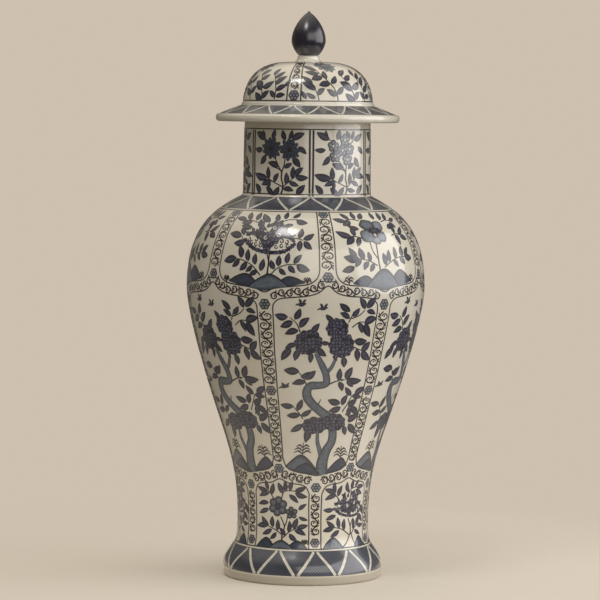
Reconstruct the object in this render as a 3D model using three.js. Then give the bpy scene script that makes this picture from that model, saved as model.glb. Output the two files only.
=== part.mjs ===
// A tall lidded ginger jar in glazed porcelain: a thrown baluster body on a flared foot,
// a domed lid that drops into the neck by a locating ring, and a flame-bud finial set on
// the lid by a tenon. Millimetres, +Z up, origin at the middle of the foot's underside.
import * as THREE from "three";

// ---- Body, from the foot upwards ----
const FOOT_RADIUS = 79.3;
const FOOT_EDGE_ROUND = 3;
const FOOT_RIM_HEIGHT = 9; // plain upright rim below the painted band
const FOOT_RING_WIDTH = 10; // flat ring that the jar stands on
const FOOT_RECESS = 6; // hollow under the base, inside the ring
const BASE_THICKNESS = 9;
const BAND_HEIGHT = 25; // flared painted band above the rim
const BAND_TOP_RADIUS = 67.6;
const BAND_LEAN = 60; // degrees from level where the band ends
const WAIST_RADIUS = 65.2;
const WAIST_ABOVE_BAND = 22;
const TAPER_RADIUS = 90;
const TAPER_ABOVE_WAIST = 118;
const TAPER_LEAN = 71.5; // degrees from level
const BELLY_RADIUS = 118.9;
const BELLY_ABOVE_TAPER = 116;
const SHOULDER_HEIGHT = 90; // belly to the foot of the neck
const SHOULDER_LEAN = 26; // degrees from level where the shoulder meets the neck
const NECK_RADIUS = 63.4;
const NECK_TAPER = 0.8; // how much narrower the neck is at its rim
const NECK_LENGTH = 78.2;
const NECK_FILLET = 3.5;
const RIM_ROUND = 2.2;
const BODY_WALL = 6.5;
const FLOOR_ROUND = 12;

// ---- Lid ----
const SEAT_GAP = 0.3; // between the lid's seat and the neck's rim
const RING_CLEARANCE = 2.2; // radial play of the locating ring in the neck
const RING_DEPTH = 18;
const RING_WALL = 5.5;
const SEAT_OVERHANG = 3; // flat seat beyond the neck's outside
const BRIM_RADIUS = 91.4;
const BRIM_EDGE = 7.8; // thickness of the rounded edge
const BRIM_DROP = 5.6; // edge's underside below the seat
const BRIM_RISE = 8.9; // slope from the edge's top to the foot of the dome
const DOME_RADIUS = 64.7;
const DOME_BEAD = 2.4; // plain moulding at the foot of the dome
const DOME_HEIGHT = 40.3;
const COLLAR_RADIUS = 10.8;
const COLLAR_HEIGHT = 6.2;
const COLLAR_FLARE = 5;
const COLLAR_CHAMFER = 1;
const LID_WALL = 6;

// ---- Finial ----
const TENON_RADIUS = 4.5;
const TENON_LENGTH = 9;
const TENON_GAP = 0.3;
const BUD_RADIUS = 17;
const BUD_BASE_RADIUS = 9.6;
const BUD_WIDEST = 14.6; // height of the widest level above the bud's base
const BUD_HEIGHT = 44;
const TIP_ROUND = 1.6;

// ---- Directions of the outlines, in degrees above level, going upwards and inwards ----
const UP = 90;
const DOWN = -90;
const OUTWARDS = 0;
const INWARDS = 180;
const DOME_SIDE_LEAN = 95;
const DOME_TOP_FALL = 1.5; // the dome's top still climbs by this much at the collar
const BUD_BASE_LEAN = 30;
const BUD_TIP_LEAN = 149;

// ---- Fullness of each smooth bend at its two ends, as shares of the bend's own span ----
const BAND_FULLNESS = [0.4, 0.4];
const BAND_TO_WAIST_FULLNESS = [0.16, 0.45];
const WAIST_TO_TAPER_FULLNESS = [0.398, 0.423];
const TAPER_TO_BELLY_FULLNESS = [0.226, 0.234];
const SHOULDER_FULLNESS = [0.535, 0.302];
const BRIM_UNDER_FULLNESS = [0.265, 0.354];
const DOME_FULLNESS = [0.347, 0.568];
const RING_BEND_FULLNESS = [0.36, 0.54];
const BUD_BASE_FULLNESS = [0.12, 0.37];
const BUD_FULLNESS = [0.41, 0.17];

// ---- Fineness of the faceted surfaces ----
const TURNS = 48;
const FINIAL_TURNS = 32;
const CURVE_STEPS = 6;
const SHOULDER_STEPS = 10;
const ROUND_STEPS = 3;

// ---- Heights and the rim's radius, worked out from the sizes ----
const bandTop = FOOT_RIM_HEIGHT + BAND_HEIGHT;
const waist = bandTop + WAIST_ABOVE_BAND;
const taper = waist + TAPER_ABOVE_WAIST;
const belly = taper + BELLY_ABOVE_TAPER;
const neckFoot = belly + SHOULDER_HEIGHT;
const neckRim = neckFoot + NECK_LENGTH;
const neckTopRadius = NECK_RADIUS - NECK_TAPER;
const innerFloor = FOOT_RECESS + BASE_THICKNESS;
const seat = neckRim + SEAT_GAP;
const brimBottom = seat - BRIM_DROP;
const brimTop = brimBottom + BRIM_EDGE;
const domeFoot = brimTop + BRIM_RISE;
const domeStart = domeFoot + DOME_BEAD;
const domeTop = domeStart + DOME_HEIGHT;
const collarTop = domeTop + COLLAR_HEIGHT;
const budBase = collarTop + TENON_GAP;

const at = (radius, height) => new THREE.Vector2(radius, height);

// A point at a distance from another, in a direction given in degrees above level.
const reach = (from, distance, degrees) =>
  at(
    from.x + distance * Math.cos(THREE.MathUtils.degToRad(degrees)),
    from.y + distance * Math.sin(THREE.MathUtils.degToRad(degrees)),
  );

// The points of a smooth bend that leaves its start and meets its end in given directions,
// without its first point.
function bend(start, leaving, end, meeting, fullness, steps = CURVE_STEPS) {
  const span = start.distanceTo(end);
  return new THREE.CubicBezierCurve(
    start,
    reach(start, span * fullness[0], leaving),
    reach(end, -span * fullness[1], meeting),
    end,
  )
    .getPoints(steps)
    .slice(1);
}

// A quarter round between two points, by way of the corner that it softens.
const soften = (start, corner, end, steps = ROUND_STEPS) =>
  new THREE.QuadraticBezierCurve(start, corner, end).getPoints(steps).slice(1);

// The same run of points moved to its left by a wall's thickness.
function offset(points, distance) {
  return points.map((point, i) => {
    const before = points[Math.max(i - 1, 0)];
    const after = points[Math.min(i + 1, points.length - 1)];
    const along = after.clone().sub(before).normalize();
    return at(point.x - along.y * distance, point.y + along.x * distance);
  });
}

function turned(name, outline, turns, material) {
  const shape = new THREE.LatheGeometry(outline, turns);
  shape.rotateX(Math.PI / 2);
  const mesh = new THREE.Mesh(shape, material);
  mesh.name = name;
  return mesh;
}

// Outside of the body's wall from the waist to the neck's rim.
function wallOutside() {
  const atWaist = at(WAIST_RADIUS, waist);
  const atTaper = at(TAPER_RADIUS, taper);
  const atBelly = at(BELLY_RADIUS, belly);
  const shoulderEnd = at(NECK_RADIUS, neckFoot);
  const filletStart = reach(shoulderEnd, NECK_FILLET, -SHOULDER_LEAN);
  const filletEnd = at(NECK_RADIUS, neckFoot + NECK_FILLET);
  return [
    atWaist,
    ...bend(atWaist, UP, atTaper, TAPER_LEAN, WAIST_TO_TAPER_FULLNESS),
    ...bend(atTaper, TAPER_LEAN, atBelly, UP, TAPER_TO_BELLY_FULLNESS),
    ...bend(
      atBelly,
      UP,
      filletStart,
      INWARDS - SHOULDER_LEAN,
      SHOULDER_FULLNESS,
      SHOULDER_STEPS,
    ),
    ...soften(filletStart, shoulderEnd, filletEnd),
    at(neckTopRadius, neckRim - RIM_ROUND),
  ];
}

function jarBody(glaze) {
  const ringInside = FOOT_RADIUS - FOOT_EDGE_ROUND - FOOT_RING_WIDTH;
  const footTop = at(FOOT_RADIUS, FOOT_RIM_HEIGHT);
  const bandEnd = at(BAND_TOP_RADIUS, bandTop);
  const bandLean = INWARDS - BAND_LEAN;
  const outside = wallOutside();
  const inside = offset(outside, BODY_WALL).reverse();
  const bore = inside[0].x;
  const shaft = inside[inside.length - 1];
  const outline = [
    at(0, FOOT_RECESS),
    at(ringInside - FOOT_RECESS, FOOT_RECESS),
    ...soften(
      at(ringInside - FOOT_RECESS, FOOT_RECESS),
      at(ringInside, FOOT_RECESS),
      at(ringInside, 0),
    ),
    at(FOOT_RADIUS - FOOT_EDGE_ROUND, 0),
    ...soften(
      at(FOOT_RADIUS - FOOT_EDGE_ROUND, 0),
      at(FOOT_RADIUS, 0),
      at(FOOT_RADIUS, FOOT_EDGE_ROUND),
    ),
    footTop,
    ...bend(footTop, UP, bandEnd, bandLean, BAND_FULLNESS),
    ...bend(
      bandEnd,
      bandLean,
      outside[0],
      UP,
      BAND_TO_WAIST_FULLNESS,
      ROUND_STEPS,
    ),
    ...outside.slice(1),
    ...soften(
      outside[outside.length - 1],
      at(neckTopRadius, neckRim),
      at(neckTopRadius - RIM_ROUND, neckRim),
    ),
    at(bore + RIM_ROUND / 2, neckRim),
    at(bore, neckRim - RIM_ROUND / 2),
    ...inside,
    at(shaft.x, innerFloor + FLOOR_ROUND),
    ...soften(
      at(shaft.x, innerFloor + FLOOR_ROUND),
      at(shaft.x, innerFloor),
      at(shaft.x - FLOOR_ROUND, innerFloor),
    ),
    at(0, innerFloor),
  ];
  return turned("jar_body", outline, TURNS, glaze);
}

function lid(glaze) {
  const ringOutside = neckTopRadius - BODY_WALL - RING_CLEARANCE;
  const ringInside = ringOutside - RING_WALL;
  const ringFoot = seat - RING_DEPTH;
  const edgeRound = BRIM_EDGE / 2;
  const edgeMiddle = brimBottom + edgeRound;
  const seatEdge = at(neckTopRadius + SEAT_OVERHANG, seat);
  const edgeUnder = at(BRIM_RADIUS - edgeRound, brimBottom);
  const edgeOver = at(BRIM_RADIUS - edgeRound, brimTop);
  const domeEdge = at(DOME_RADIUS, domeStart);
  const flareEdge = at(COLLAR_RADIUS + COLLAR_FLARE, domeTop);
  const dome = [
    domeEdge,
    ...bend(
      domeEdge,
      DOME_SIDE_LEAN,
      flareEdge,
      INWARDS + DOME_TOP_FALL,
      DOME_FULLNESS,
      SHOULDER_STEPS,
    ),
  ];
  const domeInside = offset(dome, LID_WALL).reverse();
  const socket = TENON_RADIUS + TENON_GAP;
  const ceiling = domeTop - LID_WALL;
  const innerFoot = domeInside[domeInside.length - 1];
  const outline = [
    at(ringInside, ringFoot),
    at(ringOutside, ringFoot),
    at(ringOutside, seat),
    seatEdge,
    ...bend(
      seatEdge,
      OUTWARDS,
      edgeUnder,
      OUTWARDS,
      BRIM_UNDER_FULLNESS,
      ROUND_STEPS,
    ),
    ...soften(
      edgeUnder,
      at(BRIM_RADIUS, brimBottom),
      at(BRIM_RADIUS, edgeMiddle),
    ),
    ...soften(
      at(BRIM_RADIUS, edgeMiddle),
      at(BRIM_RADIUS, brimTop),
      edgeOver,
    ),
    at(DOME_RADIUS + DOME_BEAD / 2, domeFoot),
    at(DOME_RADIUS + DOME_BEAD / 2, domeStart - DOME_BEAD / 3),
    ...dome,
    ...soften(
      flareEdge,
      at(COLLAR_RADIUS, domeTop),
      at(COLLAR_RADIUS, collarTop - COLLAR_CHAMFER),
    ),
    at(COLLAR_RADIUS - COLLAR_CHAMFER, collarTop),
    at(socket, collarTop),
    at(socket, ceiling),
    ...domeInside,
    ...bend(
      innerFoot,
      DOWN,
      at(ringInside, seat - LID_WALL),
      DOWN,
      RING_BEND_FULLNESS,
    ),
    at(ringInside, ringFoot),
  ];
  return turned("lid", outline, TURNS, glaze);
}

function finial(glaze) {
  const base = at(BUD_BASE_RADIUS, budBase);
  const widest = at(BUD_RADIUS, budBase + BUD_WIDEST);
  const tip = budBase + BUD_HEIGHT;
  const tipEdge = at(TIP_ROUND, tip - TIP_ROUND);
  const outline = [
    at(0, budBase - TENON_LENGTH),
    at(TENON_RADIUS, budBase - TENON_LENGTH),
    at(TENON_RADIUS, budBase),
    base,
    ...bend(base, BUD_BASE_LEAN, widest, UP, BUD_BASE_FULLNESS),
    ...bend(widest, UP, tipEdge, BUD_TIP_LEAN, BUD_FULLNESS, SHOULDER_STEPS),
    ...soften(tipEdge, at(TIP_ROUND / 2, tip), at(0, tip)),
  ];
  return turned("finial", outline, FINIAL_TURNS, glaze);
}

const creamGlaze = new THREE.MeshStandardMaterial({
  color: 0xe6e1cc,
  roughness: 0.18,
  metalness: 0,
});
const indigoGlaze = new THREE.MeshStandardMaterial({
  color: 0x23222e,
  roughness: 0.15,
  metalness: 0,
});

const gingerJar = new THREE.Group();
gingerJar.add(jarBody(creamGlaze), lid(creamGlaze), finial(indigoGlaze));

export default gingerJar;
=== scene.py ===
"""A tall lidded ginger jar in cream glaze, painted in cobalt: body, lid, finial and their painting."""

import functools
import math
import random

import bmesh
import bpy
from mathutils import Matrix, Vector, geometry, noise


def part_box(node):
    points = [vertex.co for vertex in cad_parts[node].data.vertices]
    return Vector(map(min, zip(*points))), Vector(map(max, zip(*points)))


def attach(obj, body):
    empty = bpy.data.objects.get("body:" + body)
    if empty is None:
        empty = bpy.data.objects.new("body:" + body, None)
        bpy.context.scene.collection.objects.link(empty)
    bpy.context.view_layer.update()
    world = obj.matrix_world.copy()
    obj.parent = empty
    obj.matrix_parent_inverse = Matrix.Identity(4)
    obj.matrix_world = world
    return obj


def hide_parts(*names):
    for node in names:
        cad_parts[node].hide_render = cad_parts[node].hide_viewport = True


bl_info = {
    "name": "Ginger Jar",
    "version": (1, 0, 0),
    "blender": (4, 5, 0),
    "location": "3D View > Sidebar > Ginger Jar",
    "description": "Models a painted, lidded ginger jar round its packed frame",
    "category": "Object",
}

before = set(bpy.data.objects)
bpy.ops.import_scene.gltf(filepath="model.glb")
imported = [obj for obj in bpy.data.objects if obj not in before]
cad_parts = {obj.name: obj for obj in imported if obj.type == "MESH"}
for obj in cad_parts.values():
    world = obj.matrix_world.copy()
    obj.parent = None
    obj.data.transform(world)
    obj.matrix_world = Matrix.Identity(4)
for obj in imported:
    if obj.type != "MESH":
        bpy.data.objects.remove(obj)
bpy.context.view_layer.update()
BODY_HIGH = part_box("jar_body")[1]
LID_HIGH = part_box("lid")[1]
BUD_LOW, BUD_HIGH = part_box("finial")

MM = 0.001
# Room for the painting between the visible belly and the box of the whole jar.
PROUD = 0.4 * MM
UP, DOWN, OUTWARDS, INWARDS = 90, -90, 0, 180
TURN = 2 * math.pi
SIXTH = math.radians(60)


def size(name, description, millimetres):
    """A length that a user can change, given in millimetres and kept in metres."""
    return bpy.props.FloatProperty(
        name=name, description=description, default=millimetres * MM, unit="LENGTH"
    )


def lean(name, description, degrees):
    """An angle that a user can change."""
    return bpy.props.FloatProperty(
        name=name, description=description, default=math.radians(degrees), subtype="ANGLE"
    )


def colour(name, description, rgb):
    """A paint or glaze colour that a user can change."""
    return bpy.props.FloatVectorProperty(
        name=name, description=description, default=rgb, subtype="COLOR", min=0, max=1
    )


class GINGER_PG_shape(bpy.types.PropertyGroup):
    """Sizes of the thrown body, the lid and the finial."""

    foot_radius: size("Foot radius", "Outside of the foot's plain rim", 79.3)
    foot_round: size("Foot rounding", "Rounded lower edge of the foot", 3)
    foot_rim: size("Foot rim", "Plain upright rim below the painted band", 9)
    foot_ring: size("Foot ring", "Width of the ring that the jar stands on", 10)
    foot_recess: size("Foot recess", "Hollow under the base", 6)
    base_thickness: size("Base", "Thickness of the base", 9)
    band_height: size("Foot band", "Height of the flared painted band", 25)
    band_top: size("Foot band top", "Radius at the top of the flared band", 67.6)
    band_lean: lean("Foot band lean", "Lean of the band's top from level", 60)
    waist_radius: size("Waist radius", "Narrowest radius above the foot", 65.2)
    waist_rise: size("Waist rise", "Waist above the band", 22)
    taper_radius: size("Taper radius", "Radius half way up the taper", 90)
    taper_rise: size("Taper rise", "Half way point above the waist", 118)
    taper_lean: lean("Taper lean", "Lean of the taper from level", 71.5)
    belly_rise: size("Belly rise", "Belly above the taper's half way point", 116)
    shoulder_rise: size("Shoulder rise", "Foot of the neck above the belly", 90)
    shoulder_lean: lean("Shoulder lean", "Fall of the shoulder at the neck", 26)
    neck_radius: size("Neck radius", "Outside of the neck at its foot", 63.4)
    neck_taper: size("Neck taper", "How much narrower the neck is at its rim", 0.8)
    neck_fillet: size("Neck fillet", "Rounded corner at the neck's foot", 3.5)
    rim_round: size("Rim rounding", "Rounded edge of the neck's rim", 2.2)
    wall: size("Wall", "Thickness of the body's wall", 6.5)
    floor_round: size("Floor rounding", "Rounded corner inside the base", 12)
    seat_gap: size("Seat gap", "Gap between lid and rim", 0.3)
    ring_play: size("Ring play", "Play of the lid's ring inside the neck", 2.2)
    ring_depth: size("Ring depth", "Depth of the lid's locating ring", 18)
    ring_wall: size("Ring wall", "Thickness of the locating ring", 5.5)
    seat_overhang: size("Seat overhang", "Flat seat beyond the neck", 3)
    brim_edge: size("Brim edge", "Thickness of the brim's rounded edge", 7.8)
    brim_drop: size("Brim drop", "Edge's underside below the seat", 5.6)
    brim_rise: size("Brim rise", "Slope from the edge to the dome's foot", 8.9)
    dome_radius: size("Dome radius", "Radius at the foot of the dome", 64.7)
    dome_bead: size("Dome bead", "Plain moulding at the dome's foot", 2.4)
    dome_height: size("Dome height", "Height of the dome", 40.3)
    collar_radius: size("Collar radius", "Collar under the finial", 10.8)
    collar_flare: size("Collar flare", "Spread of the collar into the dome", 5)
    collar_chamfer: size("Collar chamfer", "Chamfer round the collar's top", 1)
    lid_wall: size("Lid wall", "Thickness of the dome", 6)
    tenon_radius: size("Tenon radius", "Peg that holds the finial", 4.5)
    tenon_gap: size("Tenon gap", "Gap round the peg", 0.3)
    bud_base: size("Bud base", "Radius of the bud's foot", 9.6)
    bud_widest: size("Bud widest", "Height of the bud's widest level", 14.6)
    tip_round: size("Tip rounding", "Rounding of the bud's tip", 1.6)


class GINGER_PG_paint(bpy.types.PropertyGroup):
    """Layout, thickness and colours of the painting and the glazes."""

    panels: bpy.props.IntProperty(
        name="Panels", description="Painted panels round the body and neck", default=6
    )
    lid_panels: bpy.props.IntProperty(
        name="Lid panels", description="Painted panels round the dome", default=4
    )
    band_points: bpy.props.IntProperty(
        name="Band points", description="Zigzag points round foot and shoulder", default=12
    )
    brim_points: bpy.props.IntProperty(
        name="Brim points", description="Zigzag points round the brim", default=16
    )
    line: size("Line", "Width of a frame line", 1.15)
    neck_turn: lean("Neck turn", "Turn of the neck's panels from the body's", 23.3)
    lid_turn: lean("Lid turn", "Turn of the lid's panels from the body's", 22.2)
    cream: colour("Cream glaze", "Clear glaze over the pale body", (0.81, 0.78, 0.71))
    # Darker, greyer colour round the foot's plain rim: a greyer glaze tone with painted shade at the foot.
    rim: colour("Foot rim glaze", "Thin greyish glaze round the foot's plain rim", (0.45, 0.42, 0.34))
    bisque: colour("Bare clay", "Unglazed foot and seat", (0.66, 0.60, 0.50))
    indigo: colour("Indigo glaze", "Glaze of the finial", (0.006, 0.006, 0.014))
    line_ink: colour("Line ink", "Frame lines, stems and outlines", (0.016, 0.013, 0.017))
    leaf_ink: colour("Leaf ink", "Edges of leaves and dark petals", (0.01, 0.01, 0.02))
    leaf_wash: colour("Leaf wash", "Inside of the leaves", (0.056, 0.057, 0.1))
    trunk_wash: colour("Trunk wash", "Grey-blue wash of trunks", (0.15, 0.185, 0.245))
    rock_wash: colour("Rock wash", "Blue wash of rocks", (0.05, 0.066, 0.115))
    pale_wash: colour("Pale wash", "Pale petals and rosettes", (0.29, 0.325, 0.4))
    band_wash: colour("Band wash", "Blue ground of the bands", (0.062, 0.072, 0.105))
    slip: colour("Band lines", "Bare glaze left as lines in the bands", (0.84, 0.81, 0.73))
    slip_edge: colour("Band line edges", "Edges of the lines in the bands", (0.72, 0.69, 0.6))


# ---- Outlines ----


# Points of the body's outside in which its waist is looked for, from the foot up.
LOWER_POINTS = 30
# Leans of the outline from level, in degrees.
DOME_FOOT_LEAN, DOME_TOP_LEAN, BUD_FOOT_LEAN, BUD_TIP_LEAN = 95, 181.5, 30, 149


def at(radius, height):
    """A point of an outline."""
    return Vector((radius, 0, height))


def reach(start, distance, degrees):
    """A point at a distance from another, in a direction given in degrees above level."""
    turn = math.radians(degrees)
    return start + at(distance * math.cos(turn), distance * math.sin(turn))


def bend(start, leaving, end, meeting, fullness, steps=14):
    """Points of a smooth bend that leaves and meets its ends in given directions, without the first."""
    span = (end - start).length
    pull_start = reach(start, span * fullness[0], leaving)
    pull_end = reach(end, -span * fullness[1], meeting)
    return geometry.interpolate_bezier(start, pull_start, pull_end, end, steps + 1)[1:]


def soften(start, corner, end, steps=6):
    """Points of a rounded corner, without the first."""
    pull_start = start.lerp(corner, 2 / 3)
    pull_end = end.lerp(corner, 2 / 3)
    return geometry.interpolate_bezier(start, pull_start, pull_end, end, steps + 1)[1:]


def offset(points, distance):
    """The same run of points moved to its left by a wall's thickness."""
    moved = []
    for i, point in enumerate(points):
        along = (points[min(i + 1, len(points) - 1)] - points[max(i - 1, 0)]).normalized()
        moved.append(point + at(-along.z * distance, along.x * distance))
    return moved


def body_outside(shape):
    """The body's outside from the foot's rim to just under the neck's rim, from the bottom up."""
    band_foot = at(shape.foot_radius, shape.foot_rim)
    band_end = at(shape.band_top, band_foot.z + shape.band_height)
    waist = at(shape.waist_radius, band_end.z + shape.waist_rise)
    taper = at(shape.taper_radius, waist.z + shape.taper_rise)
    belly = at(BODY_HIGH.x - PROUD, taper.z + shape.belly_rise)
    corner = at(shape.neck_radius, belly.z + shape.shoulder_rise)
    band_lean = INWARDS - math.degrees(shape.band_lean)
    taper_lean = math.degrees(shape.taper_lean)
    shoulder_lean = INWARDS - math.degrees(shape.shoulder_lean)
    fillet_start = reach(corner, -shape.neck_fillet, shoulder_lean)
    return [
        band_foot,
        *bend(band_foot, UP, band_end, band_lean, (0.4, 0.4), 8),
        *bend(band_end, band_lean, waist, UP, (0.16, 0.45), 8),
        *bend(waist, UP, taper, taper_lean, (0.398, 0.423), 16),
        *bend(taper, taper_lean, belly, UP, (0.226, 0.234), 16),
        *bend(belly, UP, fillet_start, shoulder_lean, (0.535, 0.302), 24),
        *soften(fillet_start, corner, corner + at(0, shape.neck_fillet)),
        at(shape.neck_radius - shape.neck_taper, BODY_HIGH.z - shape.rim_round),
    ]


def body_outline(shape):
    """The whole outline of the body, from the axis under the base round to the axis inside."""
    outside = body_outside(shape)
    waist = next(i for i, p in enumerate(outside) if p.x == min(q.x for q in outside[:LOWER_POINTS]))
    inside = offset(outside[waist:], shape.wall)[::-1]
    ring_inside = shape.foot_radius - shape.foot_round - shape.foot_ring
    ring_edge = at(shape.foot_radius - shape.foot_round, 0)
    recess_edge = at(ring_inside - shape.foot_recess, shape.foot_recess)
    rim_edge = outside[-1]
    bore = inside[0].x
    shaft = at(inside[-1].x, shape.foot_recess + shape.base_thickness)
    return [
        at(0, shape.foot_recess),
        recess_edge,
        *soften(recess_edge, at(ring_inside, shape.foot_recess), at(ring_inside, 0)),
        ring_edge,
        *soften(ring_edge, at(shape.foot_radius, 0), at(shape.foot_radius, shape.foot_round)),
        *outside,
        *soften(rim_edge, at(rim_edge.x, BODY_HIGH.z), at(rim_edge.x - shape.rim_round, BODY_HIGH.z)),
        at(bore + shape.rim_round / 2, BODY_HIGH.z),
        at(bore, BODY_HIGH.z - shape.rim_round / 2),
        *inside,
        shaft + at(0, shape.floor_round),
        *soften(shaft + at(0, shape.floor_round), shaft, shaft - at(shape.floor_round, 0)),
        at(0, shaft.z),
    ]


def dome_outside(shape):
    """The lid's outside from the brim's upper edge to the collar, from the bottom up."""
    brim_top = BODY_HIGH.z + shape.seat_gap - shape.brim_drop + shape.brim_edge
    brim_edge = at(LID_HIGH.x - shape.brim_edge / 2, brim_top)
    foot = at(shape.dome_radius + shape.dome_bead / 2, brim_top + shape.brim_rise)
    start = at(shape.dome_radius, foot.z + shape.dome_bead)
    flare = at(shape.collar_radius + shape.collar_flare, start.z + shape.dome_height)
    collar = at(shape.collar_radius, LID_HIGH.z - shape.collar_chamfer)
    return [
        brim_edge,
        foot,
        *soften(foot, at(foot.x, start.z), start, 4),
        *bend(start, DOME_FOOT_LEAN, flare, DOME_TOP_LEAN, (0.347, 0.568), 28),
        *soften(flare, at(shape.collar_radius, flare.z), collar),
    ]


def lid_outline(shape):
    """The whole outline of the lid, closed on itself."""
    seat = BODY_HIGH.z + shape.seat_gap
    neck_top = shape.neck_radius - shape.neck_taper
    ring_outside = neck_top - shape.wall - shape.ring_play
    ring_inside = ring_outside - shape.ring_wall
    outside = dome_outside(shape)
    brim = outside[0]
    edge_round = shape.brim_edge / 2
    under = at(brim.x, brim.z - shape.brim_edge)
    seat_edge = at(neck_top + shape.seat_overhang, seat)
    middle = at(LID_HIGH.x, brim.z - edge_round)
    start = next(i for i, p in enumerate(outside) if p.x == shape.dome_radius)
    flare = next(p for p in outside if p.x <= shape.collar_radius + shape.collar_flare)
    dome = [p for p in outside[start:] if p.x >= flare.x]
    inside = offset(dome, shape.lid_wall)[::-1]
    socket = shape.tenon_radius + shape.tenon_gap
    ring_top = at(ring_inside, seat - shape.lid_wall)
    return [
        at(ring_inside, seat - shape.ring_depth),
        at(ring_outside, seat - shape.ring_depth),
        at(ring_outside, seat),
        seat_edge,
        *bend(seat_edge, OUTWARDS, under, OUTWARDS, (0.265, 0.354), 8),
        *soften(under, at(middle.x, under.z), middle),
        *soften(middle, at(middle.x, brim.z), brim),
        *outside[1:],
        at(shape.collar_radius - shape.collar_chamfer, LID_HIGH.z),
        at(socket, LID_HIGH.z),
        at(socket, flare.z - shape.lid_wall),
        *inside,
        *bend(inside[-1], DOWN, ring_top, DOWN, (0.36, 0.54)),
        at(ring_inside, seat - shape.ring_depth),
    ]


def finial_outline(shape):
    """The bud and the peg under it, from the peg's end to the tip."""
    base = at(shape.bud_base, LID_HIGH.z + shape.tenon_gap)
    widest = at(BUD_HIGH.x, base.z + shape.bud_widest)
    tip = at(0, BUD_HIGH.z)
    tip_edge = tip + at(shape.tip_round, -shape.tip_round)
    return [
        at(0, BUD_LOW.z),
        at(shape.tenon_radius, BUD_LOW.z),
        at(shape.tenon_radius, base.z),
        base,
        *bend(base, BUD_FOOT_LEAN, widest, UP, (0.12, 0.37)),
        *bend(widest, UP, tip_edge, BUD_TIP_LEAN, (0.41, 0.17), 24),
        *soften(tip_edge, tip + at(shape.tip_round / 2, 0), tip, 4),
    ]


class Wall:
    """A turned surface that is painted on, measured along its outline from the bottom up."""

    def __init__(self, outline):
        self.points = outline
        self.along = [0]
        for a, b in zip(outline, outline[1:]):
            self.along.append(self.along[-1] + (b - a).length)

    def step(self, along):
        """The stretch of the outline that holds a distance along it, and the share of it passed."""
        low, high = 0, len(self.along) - 2
        while low < high:
            middle = (low + high + 1) // 2
            if self.along[middle] <= along:
                low = middle
            else:
                high = middle - 1
        return low, (along - self.along[low]) / (self.along[low + 1] - self.along[low])

    def at_height(self, height):
        """Distance along the outline at a height."""
        for i, point in enumerate(self.points[1:]):
            if point.z >= height:
                share = (height - self.points[i].z) / (point.z - self.points[i].z)
                return self.along[i] + share * (self.along[i + 1] - self.along[i])
        return self.along[-1]

    def radius(self, along):
        """Radius of the surface at a distance along the outline."""
        i, share = self.step(along)
        return self.points[i].lerp(self.points[i + 1], share).x

    def spot(self, angle, along, lift):
        """A point a little above the surface, and the way that the surface faces there."""
        i, share = self.step(along)
        point = self.points[i].lerp(self.points[i + 1], share)
        ahead = self.facing(i + 1)
        facing = self.facing(i).lerp(ahead, share).normalized()
        point = point + facing * lift
        turned = Vector((math.sin(angle), -math.cos(angle)))
        place = Vector((turned.x * point.x, turned.y * point.x, point.z))
        normal = Vector((turned.x * facing.x, turned.y * facing.x, facing.z))
        return place, normal

    def facing(self, i):
        """The way out of the surface at one of the outline's points."""
        before = self.points[max(i - 1, 0)]
        after = self.points[min(i + 1, len(self.points) - 1)]
        along = (after - before).normalized()
        return at(along.z, -along.x)


def body_wall():
    """The body's outside as a surface to paint on."""
    return Wall(body_outside(bpy.context.scene.ginger_shape))


def lid_wall():
    """The lid's outside as a surface to paint on."""
    return Wall(dome_outside(bpy.context.scene.ginger_shape))


# ---- Glazes and inks ----


# Ripples in the clear glaze per metre, how strongly they show, and how deep they are.
RIPPLES, RIPPLE_STRENGTH, RIPPLE_DEPTH = 34, 0.35, 0.4 * MM
# Sockets of a mix of colours.
MIX_SHARE, MIX_FIRST, MIX_SECOND, MIX_RESULT = 0, 6, 7, 2
# Clouds of the noise: cycles per metre, and the levels between which the share climbs from 0 to 1.
SOFT_PATCHES, SPECKS = (26, 0.35, 0.7), (420, 0.62, 0.8, 2)
BUD_CLOUDS, CLAY_GRAINS = (90, 0.3, 0.75), (900, 0.3, 0.7)
WASH_CLOUDS, WASH_STREAKS, BAND_CLOUDS = (260, 0.3, 0.75), (700, 0.5, 0.75), (45, 0.3, 0.7)
# Levels across a stroke, from its middle at 0 to its edges at 1, and within a petal of a full bloom.
POOLED_EDGE, MIDRIB, PETAL_EDGE, PETAL_SCATTER = (0.45, 0.95), (0.2, 0.08), (0.06, 0.26), 0.55
# Heights over which the foot's rim turns to its darker colour (painted shade at the foot), and the
# yellower tint of the soft patches.
RIM_SHADE_SPAN, WARM = (10 * MM, 7 * MM), (0.95, 0.93, 0.84)
SURFACE = {"Roughness": 0.3, "Coat Weight": 1, "Coat Roughness": 0.12, "Coat IOR": 1.62}
BUD_SURFACE = {"Coat Roughness": 0.2, "Coat IOR": 1.5}
CLAY_SURFACE = {"Roughness": 0.85, "Coat Weight": 0}


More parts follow.
